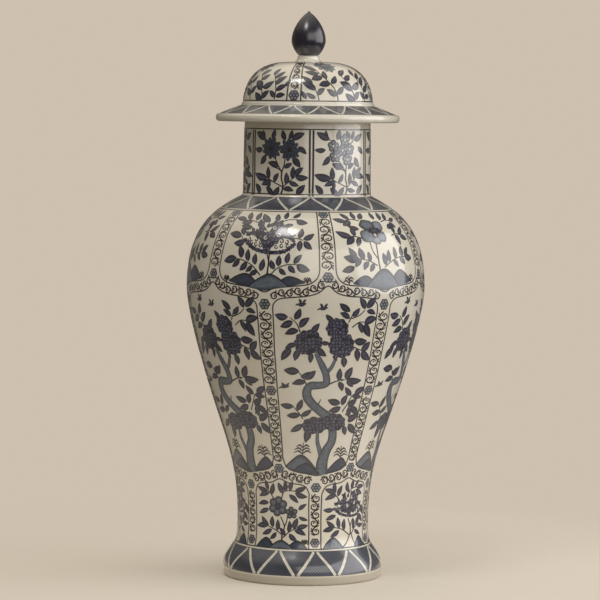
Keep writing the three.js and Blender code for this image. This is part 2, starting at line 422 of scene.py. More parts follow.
class Finish:
    """A material in the making, with a clear, slightly uneven glaze over it."""

    def __init__(self, name):
        self.material = bpy.data.materials.new(name)
        self.material.use_nodes = True
        self.nodes = self.material.node_tree.nodes
        self.link = self.material.node_tree.links.new
        self.shader = self.nodes["Principled BSDF"]
        self.surface(SURFACE)
        self.place = self.node("TexCoord").outputs["Object"]
        ripple = self.node("TexNoise", vector=self.place, scale=RIPPLES, detail=2)
        bump = self.node("Bump", strength=RIPPLE_STRENGTH, distance=RIPPLE_DEPTH)
        self.link(ripple.outputs["Fac"], bump.inputs["Height"])
        self.link(bump.outputs["Normal"], self.shader.inputs["Normal"])
        self.link(bump.outputs["Normal"], self.shader.inputs["Coat Normal"])

    def surface(self, values):
        """Set the shader's own sockets, which are the same all over."""
        for name, value in values.items():
            self.shader.inputs[name].default_value = value

    def node(self, kind, **values):
        """A new node, with sockets set or linked by their names in lower case."""
        node = self.nodes.new("ShaderNode" + kind)
        for name, value in values.items():
            self.put(value, node.inputs[name.replace("_", " ").title()])
        return node

    def put(self, value, socket):
        """Link an output to a socket, or set the socket to a number or a colour."""
        if isinstance(value, bpy.types.NodeSocket):
            self.link(value, socket)
        elif socket.type == "RGBA":
            socket.default_value = (*value, 1)
        else:
            socket.default_value = value

    def attribute(self, name):
        """The vector that a piece's mesh carries under a name."""
        node = self.node("Attribute")
        node.attribute_name = name
        return node.outputs["Vector"]

    def parts(self, vector):
        """The three parts of a vector."""
        return self.node("SeparateXYZ", vector=vector).outputs

    def step(self, operation, *values):
        """One arithmetic step on outputs or numbers."""
        node = self.node("Math")
        node.operation = operation
        for socket, value in zip(node.inputs, values):
            self.put(value, socket)
        return node.outputs[0]

    def length(self, vector):
        """How long a vector is."""
        node = self.node("VectorMath")
        node.operation = "LENGTH"
        self.link(vector, node.inputs[0])
        return node.outputs["Value"]

    def span(self, value, low, high):
        """The share of the way that a value is from one level to another, kept from 0 to 1."""
        return self.node("MapRange", value=value, from_min=low, from_max=high).outputs["Result"]

    def cloud(self, scale, low, high, detail=4):
        """A cloudy share at a scale in cycles per metre, kept between two levels of the noise."""
        clouds = self.node("TexNoise", vector=self.place, scale=scale, detail=detail)
        return self.span(clouds.outputs["Fac"], low, high)

    def mixed(self, share, first, second):
        """A mix of two colours by a share."""
        mix = self.node("Mix")
        mix.data_type = "RGBA"
        self.put(share, mix.inputs[MIX_SHARE])
        self.put(first, mix.inputs[MIX_FIRST])
        self.put(second, mix.inputs[MIX_SECOND])
        return mix.outputs[MIX_RESULT]

    def coloured(self, base):
        """The material, finished in a base colour."""
        self.link(base, self.shader.inputs["Base Color"])
        return self.material


def scaled(rgb, share):
    """A colour made darker or lighter."""
    return tuple(min(channel * share, 1) for channel in rgb)


def made_once(maker):
    """Let a maker of a material hand out the one that it made before."""

    @functools.wraps(maker)
    def give():
        name = maker.__name__
        made = bpy.data.materials.get(name)
        return made or maker(Finish(name), bpy.context.scene.ginger_paint)

    return give


@made_once
def ivory_glaze(finish, paint):
    """Clear glaze over a pale body, yellower in soft patches, and darker and greyer round the foot's rim:
    a greyer glaze tone there, with painted shade at the foot.
    """
    warm = [channel * share for channel, share in zip(paint.cream, WARM)]
    base = finish.mixed(finish.cloud(*SOFT_PATCHES), paint.cream, warm)
    grains = finish.step("MULTIPLY", finish.cloud(*SPECKS), 0.25)
    base = finish.mixed(grains, base, scaled(paint.cream, 0.55))
    # Darker towards the bottom: painted shade round the foot's rim, over a greyer glaze tone.
    low = finish.span(finish.parts(finish.place)["Z"], *RIM_SHADE_SPAN)
    return finish.coloured(finish.mixed(low, base, paint.rim))


@made_once
def bud_glaze(finish, paint):
    """Near-black indigo glaze with soft highlights."""
    finish.surface(BUD_SURFACE)
    clouds = finish.cloud(*BUD_CLOUDS)
    return finish.coloured(finish.mixed(clouds, paint.indigo, scaled(paint.indigo, 2.5)))


@made_once
def bare_clay(finish, paint):
    """Unglazed, fine-grained clay on the foot ring, the rim and the lid's seat."""
    finish.surface(CLAY_SURFACE)
    grains = finish.cloud(*CLAY_GRAINS)
    return finish.coloured(finish.mixed(grains, paint.bisque, scaled(paint.bisque, 0.8)))


def brushed(finish, edge, inside, midrib=0.0, cells=0.0, grain=0.0):
    """Cobalt laid with a brush: darker at the stroke's edges, cloudy inside, with a vein or cells."""
    _, across, tone = finish.parts(finish.attribute("brush"))
    side = finish.step("ABSOLUTE", across)
    body = finish.mixed(finish.cloud(*WASH_CLOUDS), inside, scaled(inside, 0.6))
    base = finish.mixed(finish.span(side, *POOLED_EDGE), body, edge)
    if grain:
        streaks = finish.step("MULTIPLY", finish.cloud(*WASH_STREAKS), grain)
        base = finish.mixed(streaks, base, edge)
    if midrib:
        vein = finish.step("MULTIPLY", finish.span(side, *MIDRIB), midrib)
        base = finish.mixed(vein, base, scaled(inside, 2.4))
    if cells:
        flat = finish.attribute("flat")
        petals = finish.node("TexVoronoi", vector=flat, scale=cells, randomness=PETAL_SCATTER)
        petals.feature = "DISTANCE_TO_EDGE"
        base = finish.mixed(finish.span(petals.outputs["Distance"], *PETAL_EDGE), edge, body)
    return finish.coloured(finish.mixed(tone, base, scaled(edge, 0.8)))


@made_once
def line_ink(finish, paint):
    """Dark outline ink."""
    return brushed(finish, paint.line_ink, scaled(paint.line_ink, 1.5))


@made_once
def leaf_ink(finish, paint):
    """Ink of the leaves, with a paler vein."""
    return brushed(finish, paint.leaf_ink, paint.leaf_wash, midrib=0.5)


@made_once
def bloom_ink(finish, paint):
    """Ink of the full blooms, broken into small round petals."""
    return brushed(finish, paint.leaf_ink, scaled(paint.leaf_wash, 2.3), cells=0.3)


@made_once
def trunk_wash(finish, paint):
    """Grey-blue wash of the trunks."""
    return brushed(finish, scaled(paint.trunk_wash, 0.2), paint.trunk_wash, grain=0.5)


@made_once
def rock_wash(finish, paint):
    """Blue wash of the rocks."""
    return brushed(finish, scaled(paint.rock_wash, 0.5), paint.rock_wash)


@made_once
def pale_wash(finish, paint):
    """Pale blue wash of petals and rosettes."""
    return brushed(finish, scaled(paint.pale_wash, 0.45), paint.pale_wash)


@made_once
def petal_ink(finish, paint):
    """Blue of the long petals, with dark edges."""
    return brushed(finish, paint.leaf_ink, scaled(paint.rock_wash, 1.3))


@made_once
def slip_white(finish, paint):
    """Bare glaze left showing as lines in the blue bands."""
    return brushed(finish, paint.slip_edge, paint.slip)


# ---- Meshes ----


BODY_STEPS, BUD_STEPS, RING_STEPS = 256, 96, 192
WELD = 1e-6
SHARP = math.radians(40)
# Within these distances of a level or a radius, a face belongs to the bare clay there.
NEAR_LEVEL, NEAR_RIM, NEAR_RADIUS = 0.1 * MM, 0.2 * MM, 0.3 * MM


def finished(name, bm, materials, body, keep_normals=False):
    """An object made from a bmesh, that rides on a body and takes a slot's finish."""
    mesh = bpy.data.meshes.new(name)
    bm.to_mesh(mesh)
    bm.free()
    for material in materials:
        mesh.materials.append(material)
    mesh.shade_smooth()
    if keep_normals:
        facing = mesh.attributes["facing"]
        mesh.normals_split_custom_set_from_vertices([tuple(f.vector) for f in facing.data])
        mesh.attributes.remove(mesh.attributes["facing"])
    else:
        mesh.set_sharp_from_angle(angle=SHARP)
    piece = bpy.data.objects.new(name, mesh)
    bpy.context.scene.collection.objects.link(piece)
    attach(piece, body)
    return piece


def turned(outline, steps, closed=False):
    """A bmesh spun from an outline, without gaps and facing out."""
    bm = bmesh.new()
    verts = [bm.verts.new(point) for point in outline]
    ahead = verts[1:] + verts[:1] if closed else verts[1:]
    edges = [bm.edges.new(pair) for pair in zip(verts, ahead)]
    bmesh.ops.spin(
        bm, geom=verts + edges, axis=(0, 0, 1), cent=(0, 0, 0), angle=TURN, steps=steps, use_merge=True
    )
    bmesh.ops.remove_doubles(bm, verts=bm.verts, dist=WELD)
    bmesh.ops.recalc_face_normals(bm, faces=bm.faces)
    return bm


class GINGER_OT_glazed_body(bpy.types.Operator):
    """Spin the jar's body with its foot, belly, shoulder and neck."""

    bl_idname = "ginger.glazed_body"
    bl_label = "Glazed body"

    def execute(self, context):
        shape = context.scene.ginger_shape
        bm = turned(body_outline(shape), BODY_STEPS)
        for face in bm.faces:
            middle = face.calc_center_median()
            on_ring = middle.z < MM and face.normal.z < -0.5
            on_rim = middle.z > BODY_HIGH.z - NEAR_RIM
            face.material_index = int(on_ring or on_rim)
        piece = finished("glazed_body", bm, [ivory_glaze(), bare_clay()], "jar")
        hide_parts("jar_body")
        return {"FINISHED"}


class GINGER_OT_glazed_lid(bpy.types.Operator):
    """Spin the lid with its locating ring, brim, dome and collar."""

    bl_idname = "ginger.glazed_lid"
    bl_label = "Glazed lid"

    def execute(self, context):
        shape = context.scene.ginger_shape
        bm = turned(lid_outline(shape), BODY_STEPS)
        seat = BODY_HIGH.z + shape.seat_gap
        ring_outside = shape.neck_radius - shape.neck_taper - shape.wall - shape.ring_play
        for face in bm.faces:
            middle = face.calc_center_median()
            radius = math.hypot(middle.x, middle.y)
            on_seat = abs(middle.z - seat) < NEAR_LEVEL and face.normal.z < -0.9
            on_ring = middle.z < seat and abs(radius - ring_outside) < NEAR_RADIUS
            under_ring = middle.z < seat - shape.ring_depth + NEAR_LEVEL
            face.material_index = int(on_seat or on_ring or under_ring)
        piece = finished("glazed_lid", bm, [ivory_glaze(), bare_clay()], "lid")
        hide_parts("lid")
        return {"FINISHED"}


class GINGER_OT_glazed_finial(bpy.types.Operator):
    """Spin the bud-shaped finial with its peg."""

    bl_idname = "ginger.glazed_finial"
    bl_label = "Glazed finial"

    def execute(self, context):
        bm = turned(finial_outline(context.scene.ginger_shape), BUD_STEPS)
        piece = finished("glazed_finial", bm, [bud_glaze()], "lid")
        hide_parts("finial")
        return {"FINISHED"}


# ---- Brushwork ----


LINE, LEAF, BLOOM, TRUNK, ROCK, PALE, WHITE, PETAL = range(8)

# How far the top of each ink lies over the glaze, in millimetres: what lies higher covers the rest.
LIFTS = {
    TRUNK: 0.12, ROCK: 0.12, LINE: 0.16, LEAF: 0.2, PETAL: 0.22, BLOOM: 0.24, PALE: 0.27, WHITE: 0.3,
}
# Patches of one ink that overlap are kept apart by a few small steps.
STEPS, STEP_UP = 8, 0.002
OVER, JUST_OVER, WELL_OVER = 0.045, 0.01, 0.12
# The dark edge of an outlined blot: its width and its own lift.
OUTLINE, OUTLINE_LIFT = 0.8, 0.07

# Thickness of the paint, and the lengths of the steps in which it is drawn, in millimetres.
SLAB = 0.34
DRAWN_STEP, VINE_STEP, DISC_STEP = 2.4, 1.2, 3.2
ROCK_COLUMN, ROCK_ROW = 2.5, 3
BAND_STEP, BAND_LIFT = 4 * MM, 0.1 * MM
# Keeps the last point of a stroke within its last change of width.
JUST_SHORT = 1.001
TOUCHING = 1e-4

# How far a hand strays, in millimetres, how often on the way, per metre, and the seed of its straying.
WANDER, WANDER_SCALE, WANDER_SEED = 0.55, 30, 7

# A leaf's sway, breadth and darkness differ at random within these; its belly lies nearer to its base.
LEAF_SWAY, LEAF_BREADTHS, LEAF_TONES = 0.09, (0.86, 1.02), (0, 0.45)
LEAF_BELLY, LEAF_COLUMNS, LEAF_STALK = 0.85, 8, 0.02
CURL_POINTS = 7
# Where a long petal's points lie, as shares of its reach, and its widths along the way.
PETAL_SHARES = (0.16, 0.4, 0.7, 1)
PETAL_WIDTHS = (0.3, 0.8, 1, 0.9, 0.25)
# Widths of a spray's stem and of a vine.
STEM, VINE = (1.2, 0.8), 1.4


def inks():
    """The inks in the order of their numbers."""
    makers = (line_ink, leaf_ink, bloom_ink, trunk_wash, rock_wash, pale_wash, slip_white, petal_ink)
    return [maker() for maker in makers]


def smooth(points, step=DRAWN_STEP):
    """Points of a smooth line through a few given ones."""
    ends = [Vector(p) for p in points]
    ends = [ends[0] * 2 - ends[1], *ends, ends[-1] * 2 - ends[-2]]
    path = []
    for i in range(1, len(ends) - 2):
        before, start, end, after = ends[i - 1:i + 3]
        pull_start = start + (end - before) / 6
        pull_end = end - (after - start) / 6
        count = max(1, math.ceil((end - start).length / step))
        path += geometry.interpolate_bezier(start, pull_start, pull_end, end, count + 1)[:-1]
    path.append(ends[-2])
    return path


def around(x, y, wide, count, first=0.0, tall=None):
    """Points at equal turns round a middle, on a circle or an oval."""
    tall = wide if tall is None else tall
    angles = [first + TURN * i / count for i in range(count)]
    return [(x + math.cos(angle) * wide, y + math.sin(angle) * tall) for angle in angles]


class Painting:
    """Brushwork laid out flat in millimetres, then wrapped round a wall panel by panel."""

    def __init__(self, seed):
        self.flat = bmesh.new()
        layers = self.flat.verts.layers.float_vector
        self.brush = layers.new("brush")
        self.place = layers.new("flat")
        self.random = random.Random(seed)
        self.drawn = 0
        noise.seed_set(WANDER_SEED)

    def patch(self, ink, columns, rows, shape, lift=0.0, tone=0.0, closed=False):
        """One patch of paint, given by where each share along and across it lies."""
        known = len(self.flat.faces)
        made = bmesh.ops.create_grid(self.flat, x_segments=columns, y_segments=rows, size=1)
        self.drawn = (self.drawn + 1) % STEPS
        height = LIFTS[ink] + lift + self.drawn * STEP_UP
        for vert in made["verts"]:
            along = vert.co.x / 2 + 0.5
            x, y, across = shape(along, vert.co.y)
            vert.co = (x, y, height)
            vert[self.brush] = (along, across, tone)
            vert[self.place] = (x, y, 0)
        self.flat.faces.ensure_lookup_table()
        for face in self.flat.faces[known:]:
            face.material_index = ink
        if closed:
            bmesh.ops.remove_doubles(self.flat, verts=made["verts"], dist=TOUCHING)

    def stroke(self, points, *widths, ink=LINE, lift=0.0, rows=1):
        """A brush stroke through points, that narrows or swells through its widths."""
        path = smooth(points)
        last = len(path) - 1
        sides = []
        for i in range(last + 1):
            ahead = (path[min(i + 1, last)] - path[max(i - 1, 0)]).normalized()
            sides.append(Vector((-ahead.y, ahead.x)))
        widths = widths if len(widths) > 1 else widths * 2

        def shape(along, across):
            i = round(along * last)
            place = min(along * (len(widths) - 1), len(widths) - JUST_SHORT)
            share = place - int(place)
            width = widths[int(place)] * (1 - share) + widths[int(place) + 1] * share
            spot = path[i] + sides[i] * across * width / 2
            return spot.x, spot.y, across

        self.patch(ink, last, rows, shape, lift)

    def leaf(self, base_x, base_y, tip_x, tip_y, fullness=0.44):
        """A pointed oval leaf or petal from its base to its tip."""
        base = Vector((base_x, base_y))
        axis = Vector((tip_x, tip_y)) - base
        side = Vector((-axis.y, axis.x))
        sway = self.random.uniform(-LEAF_SWAY, LEAF_SWAY)
        breadth = fullness * self.random.uniform(*LEAF_BREADTHS)

        def shape(along, across):
            swell = math.sin(math.pi * along ** LEAF_BELLY) ** LEAF_BELLY if 0 < along < 1 else 0
            half = LEAF_STALK + breadth / 2 * swell
            bow = sway * math.sin(math.pi * along)
            spot = base + axis * along + side * (across * half + bow)
            return spot.x, spot.y, across

        self.patch(LEAF, LEAF_COLUMNS, 2, shape, tone=self.random.uniform(*LEAF_TONES))

    def disc(self, x, y, wide, tall=None, ink=BLOOM, lift=0.0, lobes=0, depth=0.12, turn=0.0):
        """A round blot, with a scalloped edge where it has lobes."""
        tall = wide if tall is None else tall
        rings = max(1, math.ceil(max(wide, tall) / DISC_STEP))
        spokes = max(8, lobes * 4, math.ceil(TURN * max(wide, tall) / DISC_STEP))

        def shape(out, across):
            angle = across * math.pi
            waves = 1 - depth * out * abs(math.cos(lobes * (angle + turn) / 2)) ** 2 if lobes else 1
            far = out * waves
            return x + math.cos(angle) * far * wide, y + math.sin(angle) * far * tall, out

        self.patch(ink, rings, spokes, shape, lift, 0, True)

    def outlined(self, x, y, wide, tall=None, ink=PALE, lobes=0):
        """A pale blot with a dark edge."""
        tall = wide if tall is None else tall
        edge = OUTLINE_LIFT + self.drawn * STEP_UP
        self.disc(x, y, wide, tall, LINE, edge, lobes)
        above = LIFTS[LINE] - LIFTS[ink] + edge + OVER
        self.disc(x, y, wide - OUTLINE, tall - OUTLINE, ink, above, lobes)

    def spray(self, stem, leaves, fullness=0.5):
        """A thin stem with its leaves."""
        if stem:
            self.stroke(stem, *STEM)
        for leaf in leaves:
            self.leaf(*leaf, fullness)

    def rock(self, left, right, peak_x, peak_y, ground, ink=ROCK, lift=0.0):
        """A pointed rock that stands on the panel's lower edge."""
        peak = (peak_x - left) / (right - left)
        tall = peak_y - ground(peak_x)

        def shape(along, across):
            rise = along / peak if along < peak else (1 - along) / (1 - peak)
            round_off = math.sin(math.pi / 2 * rise)
            x = left + (right - left) * along
            low = ground(x)
            top = low + 0.4 + tall * (0.3 * rise + 0.7 * round_off)
            return x, low + (top - low) * (across + 1) / 2, across

        columns = math.ceil((right - left) / ROCK_COLUMN)
        self.patch(ink, columns, max(2, math.ceil(tall / ROCK_ROW)), shape, lift)
        ridge = [shape(i / 8, 1)[:2] for i in range(9)]
        self.stroke(ridge, 1.1, lift=lift + JUST_OVER)

    def tuft(self, x, y, height, tiers=3):
        """A tuft of grass with arching blades in tiers on both sides."""
        self.stroke([(x, y - 2), (x + 0.4, y + height * 0.5), (x, y + height)], 1, 0.7)
        for i in range(tiers):
            low = y + height * (0.2 + 0.72 * i / tiers)
            for hand in (-1, 1):
                out = hand * height * (0.66 - 0.09 * i) * self.random.uniform(0.85, 1.1)
                blade = [(x, low - 1.5), (x + out * 0.5, low + 1.7), (x + out, low - 0.6)]
                self.stroke(blade, 0.7, 1.9, 0.6)

    def bird(self, x, y):
        """A small bird or insect on the wing."""
        self.leaf(x - 4, y - 1, x + 4.5, y, 0.42)
        self.leaf(x - 0.5, y, x - 3, y + 4.2, 0.5)
        self.leaf(x + 1, y, x + 4, y + 4, 0.45)
        self.leaf(x - 3, y - 0.5, x - 6, y - 2.5, 0.4)

    def daisy(self, x, y, across, petals, ink=PETAL):
        """A flower with long round-ended petals all round."""
        wide = TURN * across / petals * 0.78
        for i in range(petals):
            angle = TURN * (i + self.random.uniform(-0.15, 0.15)) / petals
            far = across * self.random.uniform(0.92, 1.05)
            ahead = Vector((math.cos(angle), math.sin(angle)))
            points = [Vector((x, y)) + ahead * far * share for share in PETAL_SHARES]
            self.stroke(points, *(wide * share for share in PETAL_WIDTHS), ink=ink, rows=2)
        self.disc(x, y, across * 0.22, ink=LINE, lift=WELL_OVER)

    def rosette(self, x, y, across=5.5):
        """A round six-petalled flower with a dark edge."""
        self.disc(x, y, across, ink=LINE, lobes=6, depth=0.14, turn=TURN / 4)
        for spot in around(x, y, across * 0.58, 6, TURN / 3):
            self.disc(*spot, across * 0.27, ink=PALE)
        self.disc(x, y, across * 0.2, ink=PALE)

    def curl(self, x, y, across, hand=1, turn=0.0, ink=LINE):
        """A small hooked curl."""
        points = []
        for k in range(CURL_POINTS):
            angle = turn + hand * k * math.radians(52)
            far = across * (1 - 0.11 * k)
            points.append((x + math.cos(angle) * far, y + math.sin(angle) * far))
        self.stroke(points, 1.2, 0.9, ink=ink)

    def spread_bloom(self, x, y, k=1.0):
        """A dark flower spread like wings, with a row of small scallops under it and curls inside."""
        petals = (
            ([(0, -5), (-9, 3), (-19, 6), (-25, 3)], (8, 7, 5, 2)),
            ([(1, -5), (11, 4), (20, 3), (26, -3)], (9, 8, 6, 2)),
            ([(0, -2), (-6, 7), (-10, 13), (-9, 20)], (8, 8, 7, 2)),
            ([(1, -2), (5, 9), (5, 15), (2, 21)], (9, 11, 9, 2)),
            ([(3, 0), (12, 10), (16, 15), (21, 16)], (7, 7, 6, 2)),
            ([(0, -4), (0, -9), (1, -12)], (14, 10, 4)),
        )
        for line, widths in petals:
            points = [(x + px * k, y + py * k) for px, py in line]
            self.stroke(points, *(width * k for width in widths), ink=BLOOM, rows=3)
        rim = ((-25, -2), (-14, -10), (2, -13.5), (17, -12), (26, -5))
        for i, spot in enumerate(smooth([(px * k, py * k) for px, py in rim])):
            scallop = 2.6 - 0.5 * (i % 2)
            self.disc(x + spot.x, y + spot.y, scallop * k, ink=BLOOM, lobes=4, depth=0.3)
        ragged = (
            (-12, 5, -15, 11), (-17, 7, -20, 12), (-9, 15, -15, 17), (6, 17, 10, 22), (14, 6, 17, 11),
            (22, 3, 26, 5), (-3, 12, -3, 18), (11, 13, 10, 19), (-20, 3, -26, 7),
        )
        for points in ragged:
            ends = [point * k for point in points]
            self.leaf(x + ends[0], y + ends[1], x + ends[2], y + ends[3], 0.6)
        curls = (
            (-21, -1), (-17, -4), (-13, -1), (-12, -6), (-8, -3), (-7, -7), (8, -3), (9, -8), (13, -2),
            (14, -7), (18, -3), (20, -7), (-5, 9), (4, 12), (9, 4), (-3, 1),
        )
        for i, (dx, dy) in enumerate(curls):
            ink = LINE if abs(dx) > 5 and dy < 0 else WHITE
            self.curl(x + dx * k, y + dy * k, 2.3 * k, 1 if i % 2 else -1, TURN / 4, ink)

    def vine(self, path, half_start, half_end=None, wave=8.8, turned_over=False, hooks=True):
        """Scrolling vine along a path: a wavy stem with a curl and hooks in every hollow."""
        line = smooth(path, VINE_STEP)
        lengths = [0]
        for a, b in zip(line, line[1:]):
            lengths.append(lengths[-1] + (b - a).length)
        half_end = half_start if half_end is None else half_end
        count = max(1, round(lengths[-1] / wave))
        wave = lengths[-1] / count

        def spot(turn, away):
            """A point at a number of waves along the path and a share of the half width beside it."""
            far = min(max(turn * wave, 0), lengths[-1])
            i = max(k for k in range(len(line) - 1) if lengths[k] <= far)
            ahead = (line[i + 1] - line[i]).normalized()
            half = half_start + (half_end - half_start) * far / lengths[-1]
            side = Vector((-ahead.y, ahead.x))
            return line[i] + ahead * (far - lengths[i]) + side * away * half

        for i in range(count):
            sign = 1 if (i + turned_over) % 2 else -1
            stem = [spot(i + k / 4, sign * 0.62 * math.sin(math.pi * k / 4)) for k in range(5)]
            self.stroke(stem, VINE)
            curl = []
            for k in range(CURL_POINTS):
                angle = math.radians(30 - k * 48)
                far = 0.41 - 0.03 * k
                away = sign * (far * 2 * math.sin(angle) - 0.28)
                curl.append(spot(i + 0.52 + far * math.cos(angle), away))
            self.stroke(curl, VINE, 1.1)
            self.disc(*spot(i + 0.48, sign * -0.3), 0.9, ink=LINE)
            hook = [spot(i + 0.36, sign * 0.6), spot(i + 0.24, sign * 0.85), spot(i + 0.08, sign * 0.86)]
            self.stroke(hook, VINE, 0.9)
            if not hooks:
                continue
            self.disc(*spot(i + 0.5, sign * 0.86), 1.0, ink=LINE)
            barb = [spot(i + 0.97, sign * 0.15), spot(i + 0.9, sign * 0.6), spot(i + 0.72, sign * 0.95)]
            self.stroke(barb, VINE, 0.9)

    def wrapped(self, name, wall, body, copies, turn, base):
        """A piece made of copies of the flat painting at equal turns round a wall."""
        faces = self.flat.faces[:]
        made = bmesh.ops.extrude_face_region(self.flat, geom=faces, use_keep_orig=True)
        lowered = [v for v in made["geom"] if isinstance(v, bmesh.types.BMVert)]
        bmesh.ops.translate(self.flat, verts=lowered, vec=(0, 0, -SLAB))
        bmesh.ops.recalc_face_normals(self.flat, faces=self.flat.faces)
        flat = bpy.data.meshes.new("flat")
        self.flat.to_mesh(flat)
        self.flat.free()
        bm = bmesh.new()
        facing = bm.verts.layers.float_vector.new("facing")
        for copy in range(copies):
            known = len(bm.verts)
            bm.from_mesh(flat)
            bm.verts.ensure_lookup_table()
            middle = turn + TURN * copy / copies
            for vert in bm.verts[known:]:
                place_on(vert, facing, wall, middle, base)
        bpy.data.meshes.remove(flat)
        return finished(name, bm, inks(), body, keep_normals=True)


def place_on(vert, facing, wall, middle, base):
    """Move a flat point onto a wall, a little astray as a hand would leave it."""
    along = base + vert.co.y * MM
    angle = middle + vert.co.x * MM / wall.radius(along)
    about = Vector((math.sin(angle), -math.cos(angle), 0)) * wall.radius(along)
    about.z = along
    astray = noise.noise_vector(about * WANDER_SCALE) * WANDER * MM
    along = min(max(along + astray.y, 0), wall.along[-1])
    vert.co, vert[facing] = wall.spot(angle + astray.x / wall.radius(along), along, vert.co.z * MM)


def ring(name, wall, body, low, high, material):
    """A painted band all round, between two distances along a wall."""
    count = max(2, math.ceil((high - low) / BAND_STEP))
    top = []
    for i in range(count + 1):
        place = wall.spot(-math.pi / 2, low + (high - low) * i / count, BAND_LIFT)[0]
        top.append(at(-place.x, place.z))
    under = offset(top, SLAB * MM)
    bm = turned(top + under[::-1], RING_STEPS, True)
    return finished(name, bm, [material], body)


def mirrored(half):
    """A line through points and their mirror images, from the left to the right."""
    return [(-x, y) for x, y in half[::-1] if x] + list(half)


def edge_of(wall, base, degrees, heights):
    """Points of a panel's upright side, at an angle from the panel's middle."""
    return [(wall.radius(base + y * MM) / MM * math.radians(degrees), y) for y in heights]


# Heights on the jar, in metres: where each tier of panels starts, and where the bands and lines lie.
TREES_FROM, SHOULDER_FROM, FOOT_FROM, NECK_FROM = 0.08, 0.284, 0.03, 0.378
BAND_LOW, BAND_TOP, FOOT_BAND_TOP, NECK_LOW, NECK_TOP = 0.3677, 0.3798, 0.0325, 0.382, 0.4455
DOME_LINE_LOW, DOME_LINE_TOP = 0.4732, 0.4743
# Angles from a panel's middle to its upright sides, in degrees.
PANEL_SIDE, FOOT_SIDE, NECK_SIDE = 26.1, 24.6, 28.45
# Nearer rocks lie over the others.
NEARER = 0.08


def tree_ground(x):
    """The lower edge of a tree panel."""
    return 28.6 + abs(x) * 0.17 + max(abs(x) - 24, 0) * 0.4


def shoulder_ground(x):
    """The lower edge of a shoulder panel."""
    return 7 + abs(x) * 0.2


def foot_ground(_):
    """The lower edge of a foot panel."""
    return 4.6


def wrap_in_turn(height, turn, kinds):
    """Two kinds of panel in turn round the body, the second kind at a turn from the front."""
    wall = body_wall()
    base = wall.at_height(height)
    copies = bpy.context.scene.ginger_paint.panels // len(kinds)
    for (name, seed, draw), middle in zip(kinds, (turn - SIXTH, turn)):
        paint = Painting(seed)
        draw(paint)
        paint.wrapped(name, wall, "jar", copies, middle, base)


class GINGER_OT_tree_panels(bpy.types.Operator):
    """Paint the six tall panels: trunk, peonies, leaves, rocks, grass and birds."""

    bl_idname = "ginger.tree_panels"
    bl_label = "Tree panels"

    def execute(self, context):
        paint = Painting(seed=11)
        draw_tree(paint)
        draw_tree_leaves(paint)
        wall = body_wall()
        base = wall.at_height(TREES_FROM)
        paint.wrapped("tree_panels", wall, "jar", context.scene.ginger_paint.panels, 0, base)
        return {"FINISHED"}


def draw_tree(paint):
    """The tree itself with its peonies, the rocks at its foot and the birds."""
    paint.rock(-31, 3, -16, 50, tree_ground, TRUNK)
    paint.rock(-23, 2, -10, 41, tree_ground, ROCK, NEARER)
    paint.rock(9, 32, 25, 46, tree_ground)
    paint.tuft(-15, 50, 13)
    paint.tuft(24, 46, 13)
    trunk = [(5, 29), (5, 42), (8, 54), (13, 64), (13, 76), (9, 88), (1, 95), (-8, 103), (-14, 111)]
    limb = [(-15, 118), (-12, 123), (-4, 123.5), (3, 125), (3, 132), (1, 138), (-3, 146), (-9, 157)]
    widths = (13, 11, 9, 8.5, 9.5, 8.5, 9, 8.5, 7, 6.5, 4)
    paint.stroke(trunk + limb, *widths, ink=TRUNK, lift=0.1, rows=2)
    paint.stroke([(4, 46), (1, 56), (-1.5, 64), (-2, 74)], 5, 3, ink=TRUNK, lift=0.08)
    paint.stroke([(2, 136), (7, 142), (11, 152)], 4.5, 3, ink=TRUNK, lift=-0.02)
    paint.stroke([(5, 124), (12, 127), (20, 129.5)], 1.6, 0.9)
    paint.stroke([(-7, 101), (-3, 104), (-1, 109)], 2.4, 0.8, ink=TRUNK, lift=-0.02)
    paint.disc(-17, 168, 14, 13.5, lobes=11)
    paint.disc(11, 182, 12, 11, lobes=9)
    paint.disc(16, 165, 14, 14, lobes=11)
    paint.disc(-5, 81, 13.5, 9.5, lobes=9)
    paint.disc(14, 84, 13, 10, lobes=9)
    paint.bird(-25, 207)
    paint.bird(-4, 203)
    paint.bird(-37, 122)


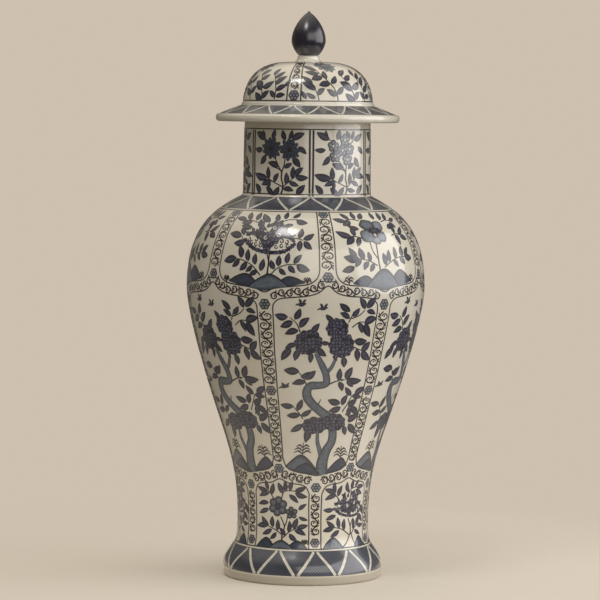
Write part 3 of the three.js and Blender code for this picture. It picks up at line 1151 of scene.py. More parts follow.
def draw_tree_leaves(paint):
    """The sprays of leaves round the tree."""
    paint.spray([(-25, 178), (-29, 187), (-36, 193)], (
        (-38, 193, -51, 195), (-31, 191, -26, 202), (-26, 183, -17, 193), (-33, 189, -45, 183),
        (-27, 180, -40, 176),
    ), 0.52)
    paint.spray([], (
        (-14, 176, -7, 187), (-28, 166, -39, 161), (-33, 161, -42, 149), (-25, 161, -29, 149),
        (-14, 158, -14, 147), (-9, 163, 1, 154), (7, 189, -1, 196), (-5, 168, 4, 167),
    ))
    paint.spray([(22, 188), (25, 194), (27, 199)], (
        (23, 199, 12, 207), (23, 192, 13, 198), (26, 194, 33, 202),
    ))
    paint.spray([(25, 192), (33, 195), (39, 200)], (
        (39, 201, 33, 212), (41, 202, 51, 212), (41, 199, 51, 196),
    ))
    paint.spray([(26, 183), (33, 188), (40, 188)], (
        (33, 188, 37, 177), (39, 187, 53, 192), (40, 187, 46, 173),
    ))
    paint.spray([(29, 163), (36, 160), (41, 159)], (
        (29, 169, 43, 169), (38, 158, 47, 168), (38, 159, 48, 149), (32, 161, 34, 148),
    ), 0.52)
    paint.spray([], ((19, 153, 20, 142), (8, 155, 12, 149)), 0.6)
    paint.spray([(-16, 125), (-20, 132), (-25, 138)], (
        (-24, 138, -39, 139), (-18, 130, -8, 139), (-17, 127, -30, 125), (-22, 132, -14, 138),
    ))
    paint.spray([(18, 128), (22, 129)], (
        (16, 128, 16, 141), (16, 127, 20, 117), (23, 129, 29, 142), (24, 129, 40, 128),
        (24, 128, 31, 121),
    ))
    paint.spray([(22, 95), (27, 104), (31, 112)], (
        (30, 112, 23, 121), (34, 114, 44, 121), (31, 112, 42, 110), (19, 104, 6, 108),
        (21, 102, 26, 113), (20, 100, 8, 96),
    ))
    paint.spray([(26, 91), (28, 96), (29, 101)], (
        (28, 100, 37, 108), (31, 101, 40, 91), (29, 100, 29, 89), (29, 84, 40, 91),
        (30, 82, 38, 71), (25, 80, 27, 70),
    ), 0.52)
    paint.spray([(-17, 88), (-21, 94), (-27, 101)], (
        (-27, 101, -40, 103), (-23, 97, -19, 109), (-20, 92, -33, 91), (-19, 91, -9, 98),
        (-17, 82, -28, 74), (-12, 77, -13, 63),
    ))


class GINGER_OT_shoulder_panels(bpy.types.Operator):
    """Paint the six shoulder panels, a dark flower and a pale one in turn."""

    bl_idname = "ginger.shoulder_panels"
    bl_label = "Shoulder panels"

    def execute(self, context):
        wrap_in_turn(SHOULDER_FROM, SIXTH / 2, (
            ("shoulder_panels_dark", 21, draw_dark_shoulder),
            ("shoulder_panels_pale", 22, draw_pale_shoulder),
        ))
        return {"FINISHED"}


def draw_dark_shoulder(paint):
    """Dark spread flower over three rocks, with leaves all round."""
    paint.rock(-40, -3, -19, 23, shoulder_ground)
    paint.rock(6, 40, 23, 21, shoulder_ground)
    paint.rock(-17, 23, 3, 23, shoulder_ground, TRUNK, NEARER)
    paint.tuft(-43, 15, 6, 2)
    paint.tuft(42, 15, 6, 2)
    paint.stroke([(2, 22), (3, 33), (3, 45)], 1.7, 1.3)
    paint.stroke([(3, 36), (0, 45)], 1.4, 1)
    paint.spread_bloom(0, 58)
    paint.spray([(-5, 22), (-14, 31), (-26, 36), (-34, 37)], (
        (-33, 38, -48, 34), (-29, 37, -37, 29), (-27, 38, -30, 50), (-20, 34, -28, 26),
        (-19, 35, -20, 47), (-14, 31, -21, 25), (-11, 32, -11, 43), (-8, 26, -17, 22), (-5, 26, -2, 38),
    ), 0.52)
    paint.spray([(6, 23), (12, 29), (22, 33), (31, 33)], (
        (9, 28, 5, 37), (13, 31, 13, 42), (14, 29, 21, 23), (21, 34, 22, 45), (23, 32, 30, 25),
        (28, 34, 35, 43), (31, 33, 44, 27),
    ), 0.52)
    paint.spray([(-22, 54), (-27, 56), (-30, 60)], (
        (-30, 60, -45, 62), (-28, 61, -29, 72), (-25, 55, -38, 52), (-20, 70, -33, 72),
    ))
    paint.spray([(20, 58), (28, 59), (34, 57)], (
        (30, 59, 31, 70), (34, 58, 44, 64), (31, 57, 32, 46), (35, 56, 44, 48),
    ))
    paint.spray([(-10, 74), (-20, 78), (-28, 79)], (
        (-29, 79, -42, 81), (-25, 79, -26, 90), (-18, 79, -15, 90), (-22, 77, -34, 75), (-13, 71, -13, 81),
    ))
    paint.spray([(5, 74), (14, 80), (24, 81)], (
        (-3, 77, -12, 88), (5, 78, 3, 88), (12, 81, 12, 91), (19, 83, 25, 90), (23, 80, 35, 76),
        (3, 76, -4, 72),
    ))


def draw_pale_shoulder(paint):
    """Pale peony over three rocks, with leaves all round."""
    paint.rock(-36, -6, -22, 22, shoulder_ground)
    paint.rock(3, 40, 21, 27, shoulder_ground)
    paint.rock(-21, 19, 0, 28, shoulder_ground, TRUNK, NEARER)
    paint.tuft(-41, 15, 8, 2)
    paint.tuft(41, 15, 8, 2)
    paint.stroke([(-5, 26), (-6, 38), (-5, 56)], 1.7, 1.3)
    paint.stroke([(-6, 38), (-11, 46), (-12, 56)], 1.3, 1)
    paint.outlined(-8, 74, 9, 7.5, TRUNK, 5)
    paint.outlined(5, 73, 6.5, 6.5, PALE, 4)
    paint.outlined(-12, 62, 9, 7.5, PALE, 4)
    paint.outlined(5, 61, 6.5, 6.5, PALE, 3)
    paint.outlined(-3, 57, 6.5, 4.5, PALE, 3)
    for spot in around(-2, 67.5, 7, 9, tall=3.4):
        paint.disc(*spot, 1.3, ink=LINE, lift=0.17)
    paint.disc(-2, 67.5, 6.5, 3.2, LEAF, 0.14)
    paint.spray([(-8, 32), (-18, 37), (-28, 39)], (
        (-28, 39, -44, 41), (-26, 39, -33, 31), (-23, 38, -26, 50), (-18, 36, -24, 28),
        (-16, 36, -17, 46), (-12, 34, -17, 26), (-30, 41, -37, 50), (-34, 31, -47, 27),
    ), 0.52)
    paint.spray([(1, 30), (12, 36), (24, 40), (34, 40)], (
        (3, 32, 1, 44), (8, 35, 9, 47), (14, 37, 21, 30), (18, 38, 18, 50), (24, 40, 32, 33),
        (28, 40, 29, 51), (33, 40, 46, 38), (33, 41, 41, 49),
    ), 0.52)
    paint.spray([(-20, 60), (-28, 62), (-33, 61)], (
        (-27, 62, -26, 73), (-31, 62, -45, 67), (-28, 61, -38, 53), (-22, 61, -27, 51), (-19, 70, -30, 74),
    ))
    paint.spray([(20, 62), (28, 64), (34, 62)], (
        (26, 64, 25, 75), (32, 63, 42, 71), (26, 63, 31, 52), (34, 61, 46, 57), (18, 70, 28, 74),
    ))
    paint.spray([(-14, 80), (-22, 82), (-31, 80)], (
        (-29, 80, -41, 82), (-24, 82, -30, 90), (-18, 82, -17, 92), (-13, 82, -6, 90), (-24, 80, -34, 74),
    ))
    paint.spray([(13, 78), (20, 80), (28, 79)], (
        (5, 81, 5, 91), (13, 80, 15, 91), (20, 80, 25, 90), (27, 79, 37, 82), (25, 77, 33, 71),
    ))


class GINGER_OT_foot_panels(bpy.types.Operator):
    """Paint the six panels round the waist, a round flower and a ragged one in turn."""

    bl_idname = "ginger.foot_panels"
    bl_label = "Foot panels"

    def execute(self, context):
        wrap_in_turn(FOOT_FROM, SIXTH / 2, (
            ("foot_panels_round", 31, draw_round_foot),
            ("foot_panels_ragged", 32, draw_ragged_foot),
        ))
        return {"FINISHED"}


def draw_round_foot(paint):
    """Grey-blue round flower with its leaves, over three rocks."""
    paint.rock(-27, -5, -15, 15, foot_ground)
    paint.rock(7, 28, 17, 13, foot_ground)
    paint.rock(-11, 14, 1, 13, foot_ground, TRUNK, NEARER)
    paint.tuft(24, 9, 6, 2)
    paint.stroke([(2, 13), (2, 20), (4, 27), (0, 37)], 1.5, 1)
    paint.stroke([(4, 27), (6, 32), (7, 38)], 1.2, 0.9)
    for x, y, far, petals in ((-3, 47, 6, 6), (11, 41, 3.8, 5)):
        for spot in around(x, y, far, petals, 0.4):
            paint.outlined(*spot, far * 0.72, ink=TRUNK)
        paint.disc(x, y, far * 0.42, ink=LEAF, lift=WELL_OVER, lobes=5)
    paint.spray([(-7, 54), (-11, 60), (-14, 63)], (
        (-12, 60, -24, 56), (-14, 62, -26, 65), (-13, 63, -16, 73), (-10, 58, -7, 70), (-13, 50, -25, 48),
        (-13, 44, -24, 39),
    ), 0.42)
    paint.spray([(1, 55), (4, 62), (12, 63), (17, 62)], (
        (2, 60, -2, 71), (5, 62, 5, 73), (10, 63, 13, 73), (15, 63, 26, 67), (15, 61, 27, 57),
        (9, 59, 18, 51), (18, 44, 26, 50), (18, 37, 27, 34),
    ), 0.42)
    paint.spray([(2, 19), (-6, 24), (-14, 27)], (
        (-3, 23, -3, 34), (-8, 26, -9, 37), (-13, 27, -21, 36), (-14, 27, -27, 26), (-9, 24, -20, 18),
        (-4, 21, -11, 14),
    ), 0.42)
    paint.spray([(3, 16), (9, 22), (16, 26)], (
        (8, 22, 9, 33), (13, 25, 17, 36), (16, 26, 27, 29), (14, 24, 25, 19), (9, 20, 17, 13),
        (5, 18, -1, 26),
    ), 0.42)


def draw_ragged_foot(paint):
    """Dark ragged flower with its leaves, over two rocks and an unfilled one."""
    paint.rock(-27, -4, -15, 16, foot_ground, TRUNK)
    paint.rock(10, 28, 19, 15, foot_ground)
    paint.stroke([(-6, 5), (1, 11), (6, 19), (10, 12), (14, 5)], 1.1)
    paint.stroke([(6, 18), (6, 26), (3, 34)], 1.5, 1)
    paint.stroke([(6, 26), (9, 33)], 1.2, 0.9)
    paint.disc(4, 45, 13, 6, lift=-0.06, lobes=9)
    paint.spread_bloom(4, 46, 0.72)
    paint.spray([(-9, 53), (-14, 59), (-16, 61)], (
        (-13, 58, -25, 54), (-14, 60, -26, 65), (-14, 61, -16, 72), (-11, 57, -7, 68), (-15, 44, -26, 44),
        (-12, 38, -23, 34),
    ), 0.42)
    paint.spray([(2, 58), (5, 63), (13, 65)], (
        (2, 60, -1, 71), (6, 63, 7, 73), (11, 65, 16, 72), (13, 64, 25, 65), (12, 62, 23, 57),
        (24, 46, 28, 36), (17, 37, 26, 29),
    ), 0.42)
    paint.spray([(4, 18), (-5, 24), (-13, 26)], (
        (-2, 23, -2, 34), (-8, 25, -10, 36), (-13, 26, -22, 33), (-14, 26, -26, 23), (-8, 23, -18, 17),
    ), 0.42)
    paint.spray([(7, 18), (12, 24), (17, 27)], (
        (10, 23, 10, 34), (15, 26, 20, 36), (17, 26, 27, 26), (12, 22, 21, 17),
    ), 0.42)


class GINGER_OT_neck_panels(bpy.types.Operator):
    """Paint the six neck panels, dark long-petalled flowers and pale blossom in turn."""

    bl_idname = "ginger.neck_panels"
    bl_label = "Neck panels"

    def execute(self, context):
        wrap_in_turn(NECK_FROM, context.scene.ginger_paint.neck_turn, (
            ("neck_panels_dark", 41, draw_dark_neck),
            ("neck_panels_pale", 42, draw_pale_neck),
        ))
        return {"FINISHED"}


def draw_dark_neck(paint):
    """Two dark flowers on one stem."""
    paint.stroke([(3, 6), (5, 14), (3, 22), (3, 28), (-1, 35), (-5, 44)], 1.7, 1.1)
    paint.stroke([(3, 27), (6, 36), (7, 44)], 1.3, 1)
    paint.daisy(-8.5, 51, 11.5, 11)
    paint.daisy(11.5, 50, 11, 11)
    draw_neck_leaves(paint)


def draw_pale_neck(paint):
    """A cluster of pale blossoms on one stem."""
    paint.stroke([(3, 6), (5, 14), (3, 22), (3, 28), (-2, 36), (-8, 42)], 1.7, 1.1)
    paint.stroke([(3, 27), (4, 38)], 1.3, 1)
    for x, y in ((-11, 54), (-9, 44), (-1, 50), (2, 60), (8, 51), (5, 41)):
        for spot in around(x, y, 3.4, 5, TURN / 20):
            paint.outlined(*spot, 2.9)
        paint.disc(x, y, 1.3, ink=WHITE, lift=0.03)
    draw_neck_leaves(paint)


def draw_neck_leaves(paint):
    """Leaves that both kinds of neck panel share."""
    paint.spray([(-10, 57), (-15, 60)], ((-15, 60, -28, 67), (-7, 60, -4, 70), (-17, 61, -19, 69)))
    paint.spray([(10, 57), (14, 60)], ((7, 59, 4, 69), (14, 60, 26, 66), (11, 60, 14, 69)))
    paint.spray([], ((-19, 50, -30, 50), (20, 53, 28, 46), (-15, 44, -22, 35), (15, 43, 22, 33)))
    paint.spray([(2, 30), (-8, 34)], ((0, 33, -12, 37), (6, 32, 14, 37)))
    paint.spray([(4, 14), (-5, 18), (-13, 22)], (
        (-13, 22, -30, 26), (-11, 21, -12, 33), (-8, 19, -20, 15), (-5, 18, 0, 27), (-9, 18, -12, 10),
    ), 0.44)
    paint.spray([(4, 13), (10, 18), (17, 24)], (
        (8, 16, 8, 28), (11, 19, 21, 15), (14, 22, 15, 34), (17, 24, 30, 23), (16, 25, 25, 33),
        (5, 12, 16, 10),
    ), 0.44)
    paint.spray([], ((-22, 6, -29, 16), (19, 6, 27, 16), (-6, 5, -14, 13), (-6, 5, 1, 14)))


class GINGER_OT_lid_panels(bpy.types.Operator):
    """Paint the four panels of the dome, with the strips between them."""

    bl_idname = "ginger.lid_panels"
    bl_label = "Lid panels"

    def execute(self, context):
        settings = context.scene.ginger_paint
        wall = lid_wall()
        quarter = TURN / settings.lid_panels
        leaves = Painting(seed=51)
        draw_dome(leaves)
        leaves.wrapped("dome_panels", wall, "lid", settings.lid_panels, settings.lid_turn, 0)
        strips = Painting(seed=52)
        outline_both_sides(strips, [], [(6.9, 28), (6.3, 45), (4.6, 66), (3.2, 84)], [], 1.3)
        strips.rosette(0, 33.5)
        strips.vine([(0, 39.5), (0, 82)], 4, 1.9, 8.5)
        turn = settings.lid_turn - quarter / 2
        strips.wrapped("dome_strips", wall, "lid", settings.lid_panels, turn, 0)
        return {"FINISHED"}


def draw_dome(paint):
    """Sprays of leaves up the dome, with a grey-blue flower."""
    paint.spray([(-26, 29), (-27, 34), (-29, 40)], (
        (-28, 39, -40, 47), (-29, 31, -38, 36), (-27, 34, -19, 41),
    ), 0.5)
    paint.spray([(-6, 29), (-7, 37), (-12, 46), (-18, 55), (-21, 64)], (
        (-6, 34, -17, 40), (-6, 35, 2, 43), (-12, 47, -24, 44), (-11, 46, -4, 55), (-15, 51, -14, 62),
        (-18, 54, -30, 50), (-20, 58, -33, 60), (-21, 62, -31, 71),
    ), 0.5)
    paint.spray([(14, 28), (13, 36), (8, 46), (2, 56)], (
        (14, 29, 3, 36), (14, 30, 22, 38), (12, 39, -1, 48), (12, 41, 24, 48), (5, 50, 14, 56),
        (1, 55, 10, 63),
    ), 0.5)
    paint.spray([(30, 29), (30, 38), (26, 47), (20, 56)], (
        (30, 31, 23, 38), (31, 32, 41, 34), (30, 38, 40, 44), (27, 44, 35, 54), (23, 51, 29, 60),
        (20, 55, 19, 65),
    ), 0.5)
    paint.spray([], ((-38, 30, -43, 38), (-30, 46, -38, 54), (38, 42, 41, 50)), 0.5)
    paint.daisy(-8, 71, 11, 10, TRUNK)
    paint.disc(-8, 71, 5, ink=PETAL, lift=0.16, lobes=6)


class GINGER_OT_panel_frames(bpy.types.Operator):
    """Paint the outlines of the panels and the scrollwork between them."""

    bl_idname = "ginger.panel_frames"
    bl_label = "Frames and scrollwork"

    def execute(self, context):
        settings = context.scene.ginger_paint
        wall = body_wall()
        draw_outlines(wall, settings)
        draw_scrollwork(wall, settings)
        draw_neck_lines(wall, settings)
        return {"FINISHED"}


def tiers(wall):
    """Distances along the wall to the trees, the shoulder panels, the foot panels and the upper band."""
    return [wall.at_height(height) for height in (TREES_FROM, SHOULDER_FROM, FOOT_FROM, BAND_LOW)]


def draw_outlines(wall, settings):
    """The dark line round each panel of the body."""
    width = settings.line / MM
    trees, shoulder, foot, band = tiers(wall)

    tall = Painting(seed=61)
    side = edge_of(wall, trees, PANEL_SIDE, range(200, 40, -11))
    top = [(0, 224), (9, 217.4), (20, 214), (35, 212.4), (47, 210.5), (52.6, 205.5), side[0]]
    low = [(0, 28), (10, 30), (20, 32), (27, 34.6), (31, 39), side[-1]]
    outline_both_sides(tall, top, side, low, width)
    tall.wrapped("tree_panel_outlines", wall, "jar", settings.panels, 0, trees)

    staggered = Painting(seed=62)
    end = (band - shoulder) / MM - 3
    side = edge_of(wall, shoulder, PANEL_SIDE, [end, *range(int(end) - 5, 28, -9), 28])
    low = [(0, 6), (10, 9.8), (25, 11.8), (39, 13.2), (46, 15.2), (51, 19.5), (52.9, 24.5), side[-1]]
    outline_both_sides(staggered, [], side, low, width)
    staggered.wrapped("shoulder_panel_outlines", wall, "jar", settings.panels, SIXTH / 2, shoulder)

    lowest = Painting(seed=63)
    side = edge_of(wall, foot, FOOT_SIDE, [60, 50, 40, 30, 20, 12, 4.5])
    top = [(0, 75), (9, 71), (20, 69.6), (26, 66.5), side[0]]
    outline_both_sides(lowest, top, side, [], width)
    lowest.wrapped("foot_panel_outlines", wall, "jar", settings.panels, SIXTH / 2, foot)


def outline_both_sides(paint, top, side, low, width):
    """A panel's outline from the right halves of its top, side and lower edge."""
    for half in (top, low):
        if half:
            paint.stroke(mirrored(half), width)
    for hand in (-1, 1):
        paint.stroke([(hand * x, y) for x, y in side], width)


def draw_scrollwork(wall, settings):
    """Vines and rosettes in the strips between the panels."""
    trees, shoulder, foot, band = tiers(wall)
    rise = (shoulder - trees) / MM
    drop = (trees - foot) / MM
    end = (band - shoulder) / MM

    upright = Painting(seed=71)
    upright.vine([(0, 198), (0, 160), (0, 124)], 6.2, 5.6)
    upright.vine([(0, 110), (0, 80), (0, 42)], 5.2, 4)
    upright.rosette(0, 205, 5.8)
    upright.rosette(0, 117, 5.5)
    upright.rosette(0, 35, 5.2)
    upright.wrapped("tree_strips", wall, "jar", settings.panels, SIXTH / 2, trees)

    upper = Painting(seed=72)
    upper.vine([(0, 28), (0, 50), (0, end - 12)], 6, 5)
    upper.rosette(0, end - 6.5, 5.2)
    upper.rosette(0, 21, 5.6)
    arch = [(4, 228 - rise), (13, 221 - rise), (24, 218 - rise), (36, 217.5 - rise), (56, 213.5 - rise)]
    for hand in (-1, 1):
        upper.vine([(hand * x, y) for x, y in arch], 4, 4, 8.2, hand > 0, False)
    upper.wrapped("shoulder_strips", wall, "jar", settings.panels, 0, shoulder)

    lower = Painting(seed=73)
    lower.vine([(0, 60), (0, 40), (0, 19)], 4.2, 4.2, 8.4)
    lower.rosette(0, 66.5, 5.2)
    lower.rosette(0, 11.5, 5)
    arch = [(4.5, 22.8 + drop), (13, 24 + drop), (24, 26.8 + drop), (34.5, 29.3 + drop)]
    for hand in (-1, 1):
        lower.vine([(hand * x, y) for x, y in arch], 4.2, 4.2, 7.8, hand > 0)
    lower.wrapped("foot_strips", wall, "jar", settings.panels, 0, foot)


def draw_neck_lines(wall, settings):
    """The upright lines between the neck's panels."""
    paint = Painting(seed=81)
    base = wall.at_height(NECK_FROM)
    side = edge_of(wall, base, NECK_SIDE, (4.5, 20, 36, 52, 69))
    outline_both_sides(paint, [], side, [], settings.line / MM * 1.65)
    paint.wrapped("neck_lines", wall, "jar", settings.panels, settings.neck_turn, base)


# Turn of the shoulder's zigzag from the front.
SHOULDER_TURN = math.radians(7.7)
# The bare gap beside a band, and the collar's line, measured up the lid from the brim's edge.
WHITE_GAP, COLLAR_LINE = 1.6 * MM, 84 * MM
# Hatching lines for each point of the zigzag, and their pitch up the band.
HATCH_LINES, HATCH_PITCH = 14, 2.9 * MM


class GINGER_OT_bands(bpy.types.Operator):
    """Paint the hatched bands of foot, shoulder and brim, with their zigzags and edge lines."""

    bl_idname = "ginger.bands"
    bl_label = "Bands"

    def execute(self, context):
        settings = context.scene.ginger_paint
        wall, lid = body_wall(), lid_wall()
        heights = (FOOT_BAND_TOP, BAND_LOW, BAND_TOP, NECK_LOW, NECK_TOP)
        foot_top, band_low, band_top, neck_low, neck_top = (wall.at_height(height) for height in heights)
        points, brim = settings.band_points, settings.brim_points
        turn = SHOULDER_TURN - TURN / points / 2
        brim_top = lid.along[1] - 1.2 * MM
        # Each band's surface, body, edges, points and turn, how far its zigzag keeps from both edges, and
        # the width of the zigzag's strokes in millimetres.
        bands = (
            ("foot", wall, "jar", 0.4 * MM, foot_top, points, 0.0, 0.4 * MM, 0.7 * MM, 2.9),
            ("shoulder", wall, "jar", band_low, band_top, points, turn, 0.6 * MM, 0.9 * MM, 2.1),
            ("brim", lid, "lid", 0.6 * MM, brim_top, brim, 0.0, 0.5 * MM, MM, 1.8),
        )
        for part, on, body, low, high, count, turned_by, above, below, width in bands:
            blue = hatched(part + "_hatching", on, low, high, count, turned_by)
            ring(part + "_band", on, body, low, high, blue)
            zigzag(part + "_zigzag", on, body, low + above, high - below, count, turned_by, width)
        line = settings.line
        dome_low, dome_top = lid.at_height(DOME_LINE_LOW), lid.at_height(DOME_LINE_TOP)
        lines = (
            ("foot_band_line", wall, "jar", foot_top + WHITE_GAP, line),
            ("shoulder_band_line", wall, "jar", band_low - WHITE_GAP - line, line),
            ("neck_low_line", wall, "jar", neck_low, line),
            ("neck_top_line", wall, "jar", neck_top, line),
            ("dome_foot_line", lid, "lid", dome_low, dome_top - dome_low),
            ("collar_line", lid, "lid", COLLAR_LINE, line),
        )
        for name, on, body, low, width in lines:
            ring(name, on, body, low, low + width, line_ink())
        return {"FINISHED"}


def zigzag(name, wall, body, low, high, points, turn, width):
    """Pairs of slanting white strokes round a band, open at their upper ends."""
    paint = Painting(seed=91)
    height = (high - low) / MM
    inset = width * 0.6
    for hand in (-1, 1):
        line = []
        for k in range(6):
            share = k / 5
            half = wall.radius(low + (high - low) * share) / MM * math.pi / points - inset
            line.append((hand * (half * (1 - share) + inset * share), height * share))
        paint.stroke(line, width, width * 0.85, ink=WHITE)
    paint.wrapped(name, wall, body, points, turn, low)


def hatched(name, wall, low, high, points, turn):
    """Blue ground of a band, closely hatched one way and the other in the zigzag's triangles."""
    paint = bpy.context.scene.ginger_paint
    finish = Finish(name)
    x, y, z = finish.parts(finish.place)
    angle = finish.step("ARCTAN2", x, y)
    radius = finish.length(finish.node("CombineXYZ", x=x, y=y).outputs["Vector"])
    start, end = (wall.spot(math.pi / 2, along, 0)[0] for along in (low, high))
    slope = (end - start).normalized()

    # Distance up the band, and where the zigzag's triangles stand at that height.
    inward = finish.step("MULTIPLY_ADD", radius, slope.x, -start.dot(slope))
    climb = finish.step("MULTIPLY_ADD", z, slope.z, inward)
    risen = finish.step("DIVIDE", climb, (end - start).length)
    turns = finish.step("MULTIPLY_ADD", angle, points / TURN, turn * points / TURN)
    apart = finish.step("MULTIPLY_ADD", finish.step("FRACT", turns), 2.0, -1.0)
    inside = finish.step("GREATER_THAN", risen, finish.step("ABSOLUTE", apart))
    way = finish.step("MULTIPLY_ADD", inside, 2.0, -1.0)

    # Slanting lines, that lean one way inside the triangles and the other way outside.
    across = finish.step("MULTIPLY", angle, points * HATCH_LINES)
    up = finish.step("MULTIPLY", climb, TURN / HATCH_PITCH)
    slant = finish.step("MULTIPLY_ADD", across, way, up)
    line = finish.step("MULTIPLY_ADD", finish.step("SINE", slant), 0.5, 0.5)
    cloud = finish.cloud(*BAND_CLOUDS)
    ground = finish.mixed(cloud, paint.band_wash, scaled(paint.band_wash, 1.9))
    faint = finish.step("MULTIPLY", line, 0.9)
    return finish.coloured(finish.mixed(faint, ground, scaled(paint.band_wash, 0.22)))


# ---- Stage ----


# Half the floor's width, how far it lies under the foot, and where it fades away, in metres.
FLOOR_HALF, FLOOR_DROP, FLOOR_FADE = 30, 0.2 * MM, (0.15, 0.65)
FLOOR_COLOUR, FLOOR_ROUGHNESS = (0.86, 0.8, 0.72, 1), 0.7
AIR_COLOUR, BACKDROP_COLOUR = (1, 0.90, 0.74, 1), (0.62, 0.53, 0.43, 1)
# The air is brighter from above: the way to the brightest part, how it falls off, and its strengths.
BRIGHT_WAY, BRIGHT_SPAN, AIR_STRENGTHS = (-0.1, 0.2, 0.97), (0.55, 0.95), (0.14, 0.95)
# Each light's name, place, size, power and tint.
LIGHTS = (
    ("window", (2.1, -0.75, 0.95), (2.7, 1.9), 36, (1, 0.98, 0.97)),
    ("front", (0.6, -3.7, 1.75), (3.8, 2.2), 41, (1, 0.94, 0.86)),
    ("lamp", (-0.62, -0.72, 1.95), (0.52, 0.4), 5.8, (1, 0.98, 0.95)),
)
# The share of the body's height that the lights are aimed at.
AIMED_AT = 0.6


class GINGER_OT_stage(bpy.types.Operator):
    """Set the pale floor, the soft studio light and the camera."""

    bl_idname = "ginger.stage"
    bl_label = "Floor, light and camera"

    def execute(self, context):
        floor_mesh = bpy.data.meshes.new("floor")
        bm = bmesh.new()
        bmesh.ops.create_grid(bm, x_segments=4, y_segments=4, size=FLOOR_HALF)
        bmesh.ops.translate(bm, verts=bm.verts, vec=(0, 0, -FLOOR_DROP))
        bm.to_mesh(floor_mesh)
        bm.free()
        floor = bpy.data.objects.new("floor", floor_mesh)
        context.scene.collection.objects.link(floor)
        floor_mesh.materials.append(pale_floor())
        context.scene.world = studio_air()
        context.scene.view_settings.view_transform = "Standard"
        for light in LIGHTS:
            add_light(*light)
        add_camera()
        return {"FINISHED"}


def set_span(node, start, end):
    """Let a range node turn one pair of levels into another."""
    for name, value in zip(("From Min", "From Max", "To Min", "To Max"), (*start, *end)):
        node.inputs[name].default_value = value


def pale_floor():
    """Plain pale floor that fades into the background some way off."""
    pale = bpy.data.materials.new("pale_floor")
    pale.use_nodes = True
    nodes, link = pale.node_tree.nodes, pale.node_tree.links.new
    shader = nodes["Principled BSDF"]
    shader.inputs["Base Color"].default_value = FLOOR_COLOUR
    shader.inputs["Roughness"].default_value = FLOOR_ROUGHNESS
    place = nodes.new("ShaderNodeTexCoord")
    far = nodes.new("ShaderNodeVectorMath")
    far.operation = "LENGTH"
    link(place.outputs["Object"], far.inputs[0])
    fade = nodes.new("ShaderNodeMapRange")
    fade.interpolation_type = "SMOOTHSTEP"
    set_span(fade, FLOOR_FADE, (1, 0))
    link(far.outputs["Value"], fade.inputs["Value"])
    link(fade.outputs["Result"], shader.inputs["Alpha"])
    return pale


def studio_air():
    """Dim warm light from all round, before a plain pale background."""
    world = bpy.data.worlds.new("studio")
    world.use_nodes = True
    nodes, link = world.node_tree.nodes, world.node_tree.links.new
    air = nodes["Background"]
    way = nodes.new("ShaderNodeTexCoord")
    toward = nodes.new("ShaderNodeVectorMath")
    toward.operation = "DOT_PRODUCT"
    toward.inputs[1].default_value = BRIGHT_WAY
    brighter = nodes.new("ShaderNodeMapRange")
    set_span(brighter, BRIGHT_SPAN, AIR_STRENGTHS)
    link(way.outputs["Generated"], toward.inputs[0])
    link(toward.outputs["Value"], brighter.inputs["Value"])
    link(brighter.outputs["Result"], air.inputs["Strength"])
    air.inputs["Color"].default_value = AIR_COLOUR
    backdrop = nodes.new("ShaderNodeBackground")
    backdrop.inputs["Color"].default_value = BACKDROP_COLOUR
    seen = nodes.new("ShaderNodeLightPath")
    either = nodes.new("ShaderNodeMixShader")
    link(seen.outputs["Is Camera Ray"], either.inputs[0])
    link(air.outputs[0], either.inputs[1])
    link(backdrop.outputs[0], either.inputs[2])
    link(either.outputs[0], nodes["World Output"].inputs["Surface"])
    return world


def add_light(name, place, extent, power, tint):
    """A rectangular soft light, aimed a little above the middle of the jar."""
    data = bpy.data.lights.new(name, "AREA")
    data.shape = "RECTANGLE"
    data.size, data.size_y = extent
    data.energy = power
    data.color = tint
    light = bpy.data.objects.new(name, data)
    bpy.context.scene.collection.objects.link(light)
    light.location = place
    aim = Vector((0, 0, BODY_HIGH.z * AIMED_AT)) - Vector(place)
    light.rotation_mode = "QUATERNION"
    light.rotation_quaternion = aim.to_track_quat("-Z", "Y")


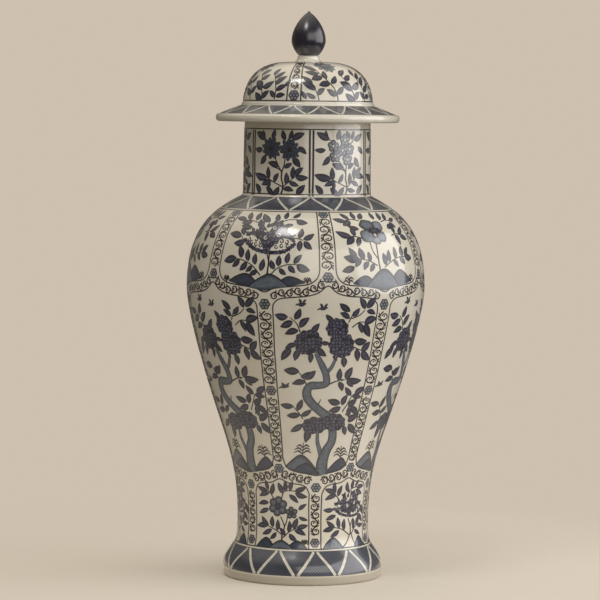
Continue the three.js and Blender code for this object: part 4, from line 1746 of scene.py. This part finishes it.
def add_camera():
    """A long lens three metres away, a little above the shoulder and left of the front panel."""
    distance, height = 3.0, 0.474
    bearing, tilt = math.radians(10.5), math.radians(3.79)
    aside, roll = math.radians(0.104), math.radians(0.7)
    sensor, lens, farthest = 36, 180.6, 100
    data = bpy.data.cameras.new("camera")
    data.sensor_width = sensor
    data.lens = lens
    data.clip_end = farthest
    camera = bpy.data.objects.new("camera", data)
    bpy.context.scene.collection.objects.link(camera)
    yaw = bearing - aside
    ahead = Vector((math.sin(yaw) * math.cos(tilt), math.cos(yaw) * math.cos(tilt), -math.sin(tilt)))
    turn = ahead.to_track_quat("-Z", "Y").to_matrix() @ Matrix.Rotation(roll, 3, "Z")
    camera.rotation_mode = "QUATERNION"
    camera.rotation_quaternion = turn.to_quaternion()
    camera.location = (-distance * math.sin(bearing), -distance * math.cos(bearing), height)
    bpy.context.scene.camera = camera


class GINGER_PT_panel(bpy.types.Panel):
    """Lists the steps that make the jar."""

    bl_label = "Ginger Jar"
    bl_idname = "GINGER_PT_panel"
    bl_space_type = "VIEW_3D"
    bl_region_type = "UI"
    bl_category = "Ginger Jar"

    def draw(self, context):
        for operator in OPERATORS:
            self.layout.operator(operator.bl_idname)


OPERATORS = (
    GINGER_OT_glazed_body,
    GINGER_OT_glazed_lid,
    GINGER_OT_glazed_finial,
    GINGER_OT_tree_panels,
    GINGER_OT_shoulder_panels,
    GINGER_OT_foot_panels,
    GINGER_OT_neck_panels,
    GINGER_OT_lid_panels,
    GINGER_OT_panel_frames,
    GINGER_OT_bands,
    GINGER_OT_stage,
)
GROUPS = (GINGER_PG_shape, GINGER_PG_paint)


def register():
    """Add the settings, the operators and the panel."""
    for cls in (*GROUPS, *OPERATORS, GINGER_PT_panel):
        bpy.utils.register_class(cls)
    bpy.types.Scene.ginger_shape = bpy.props.PointerProperty(type=GINGER_PG_shape)
    bpy.types.Scene.ginger_paint = bpy.props.PointerProperty(type=GINGER_PG_paint)


def unregister():
    """Take them away again."""
    del bpy.types.Scene.ginger_paint
    del bpy.types.Scene.ginger_shape
    for cls in reversed((*GROUPS, *OPERATORS, GINGER_PT_panel)):
        bpy.utils.unregister_class(cls)


def main():
    """Make the jar and its stage."""
    register()
    for operator in OPERATORS:
        getattr(bpy.ops.ginger, operator.bl_idname.split(".")[1])()


if __name__ == "__main__":
    main()
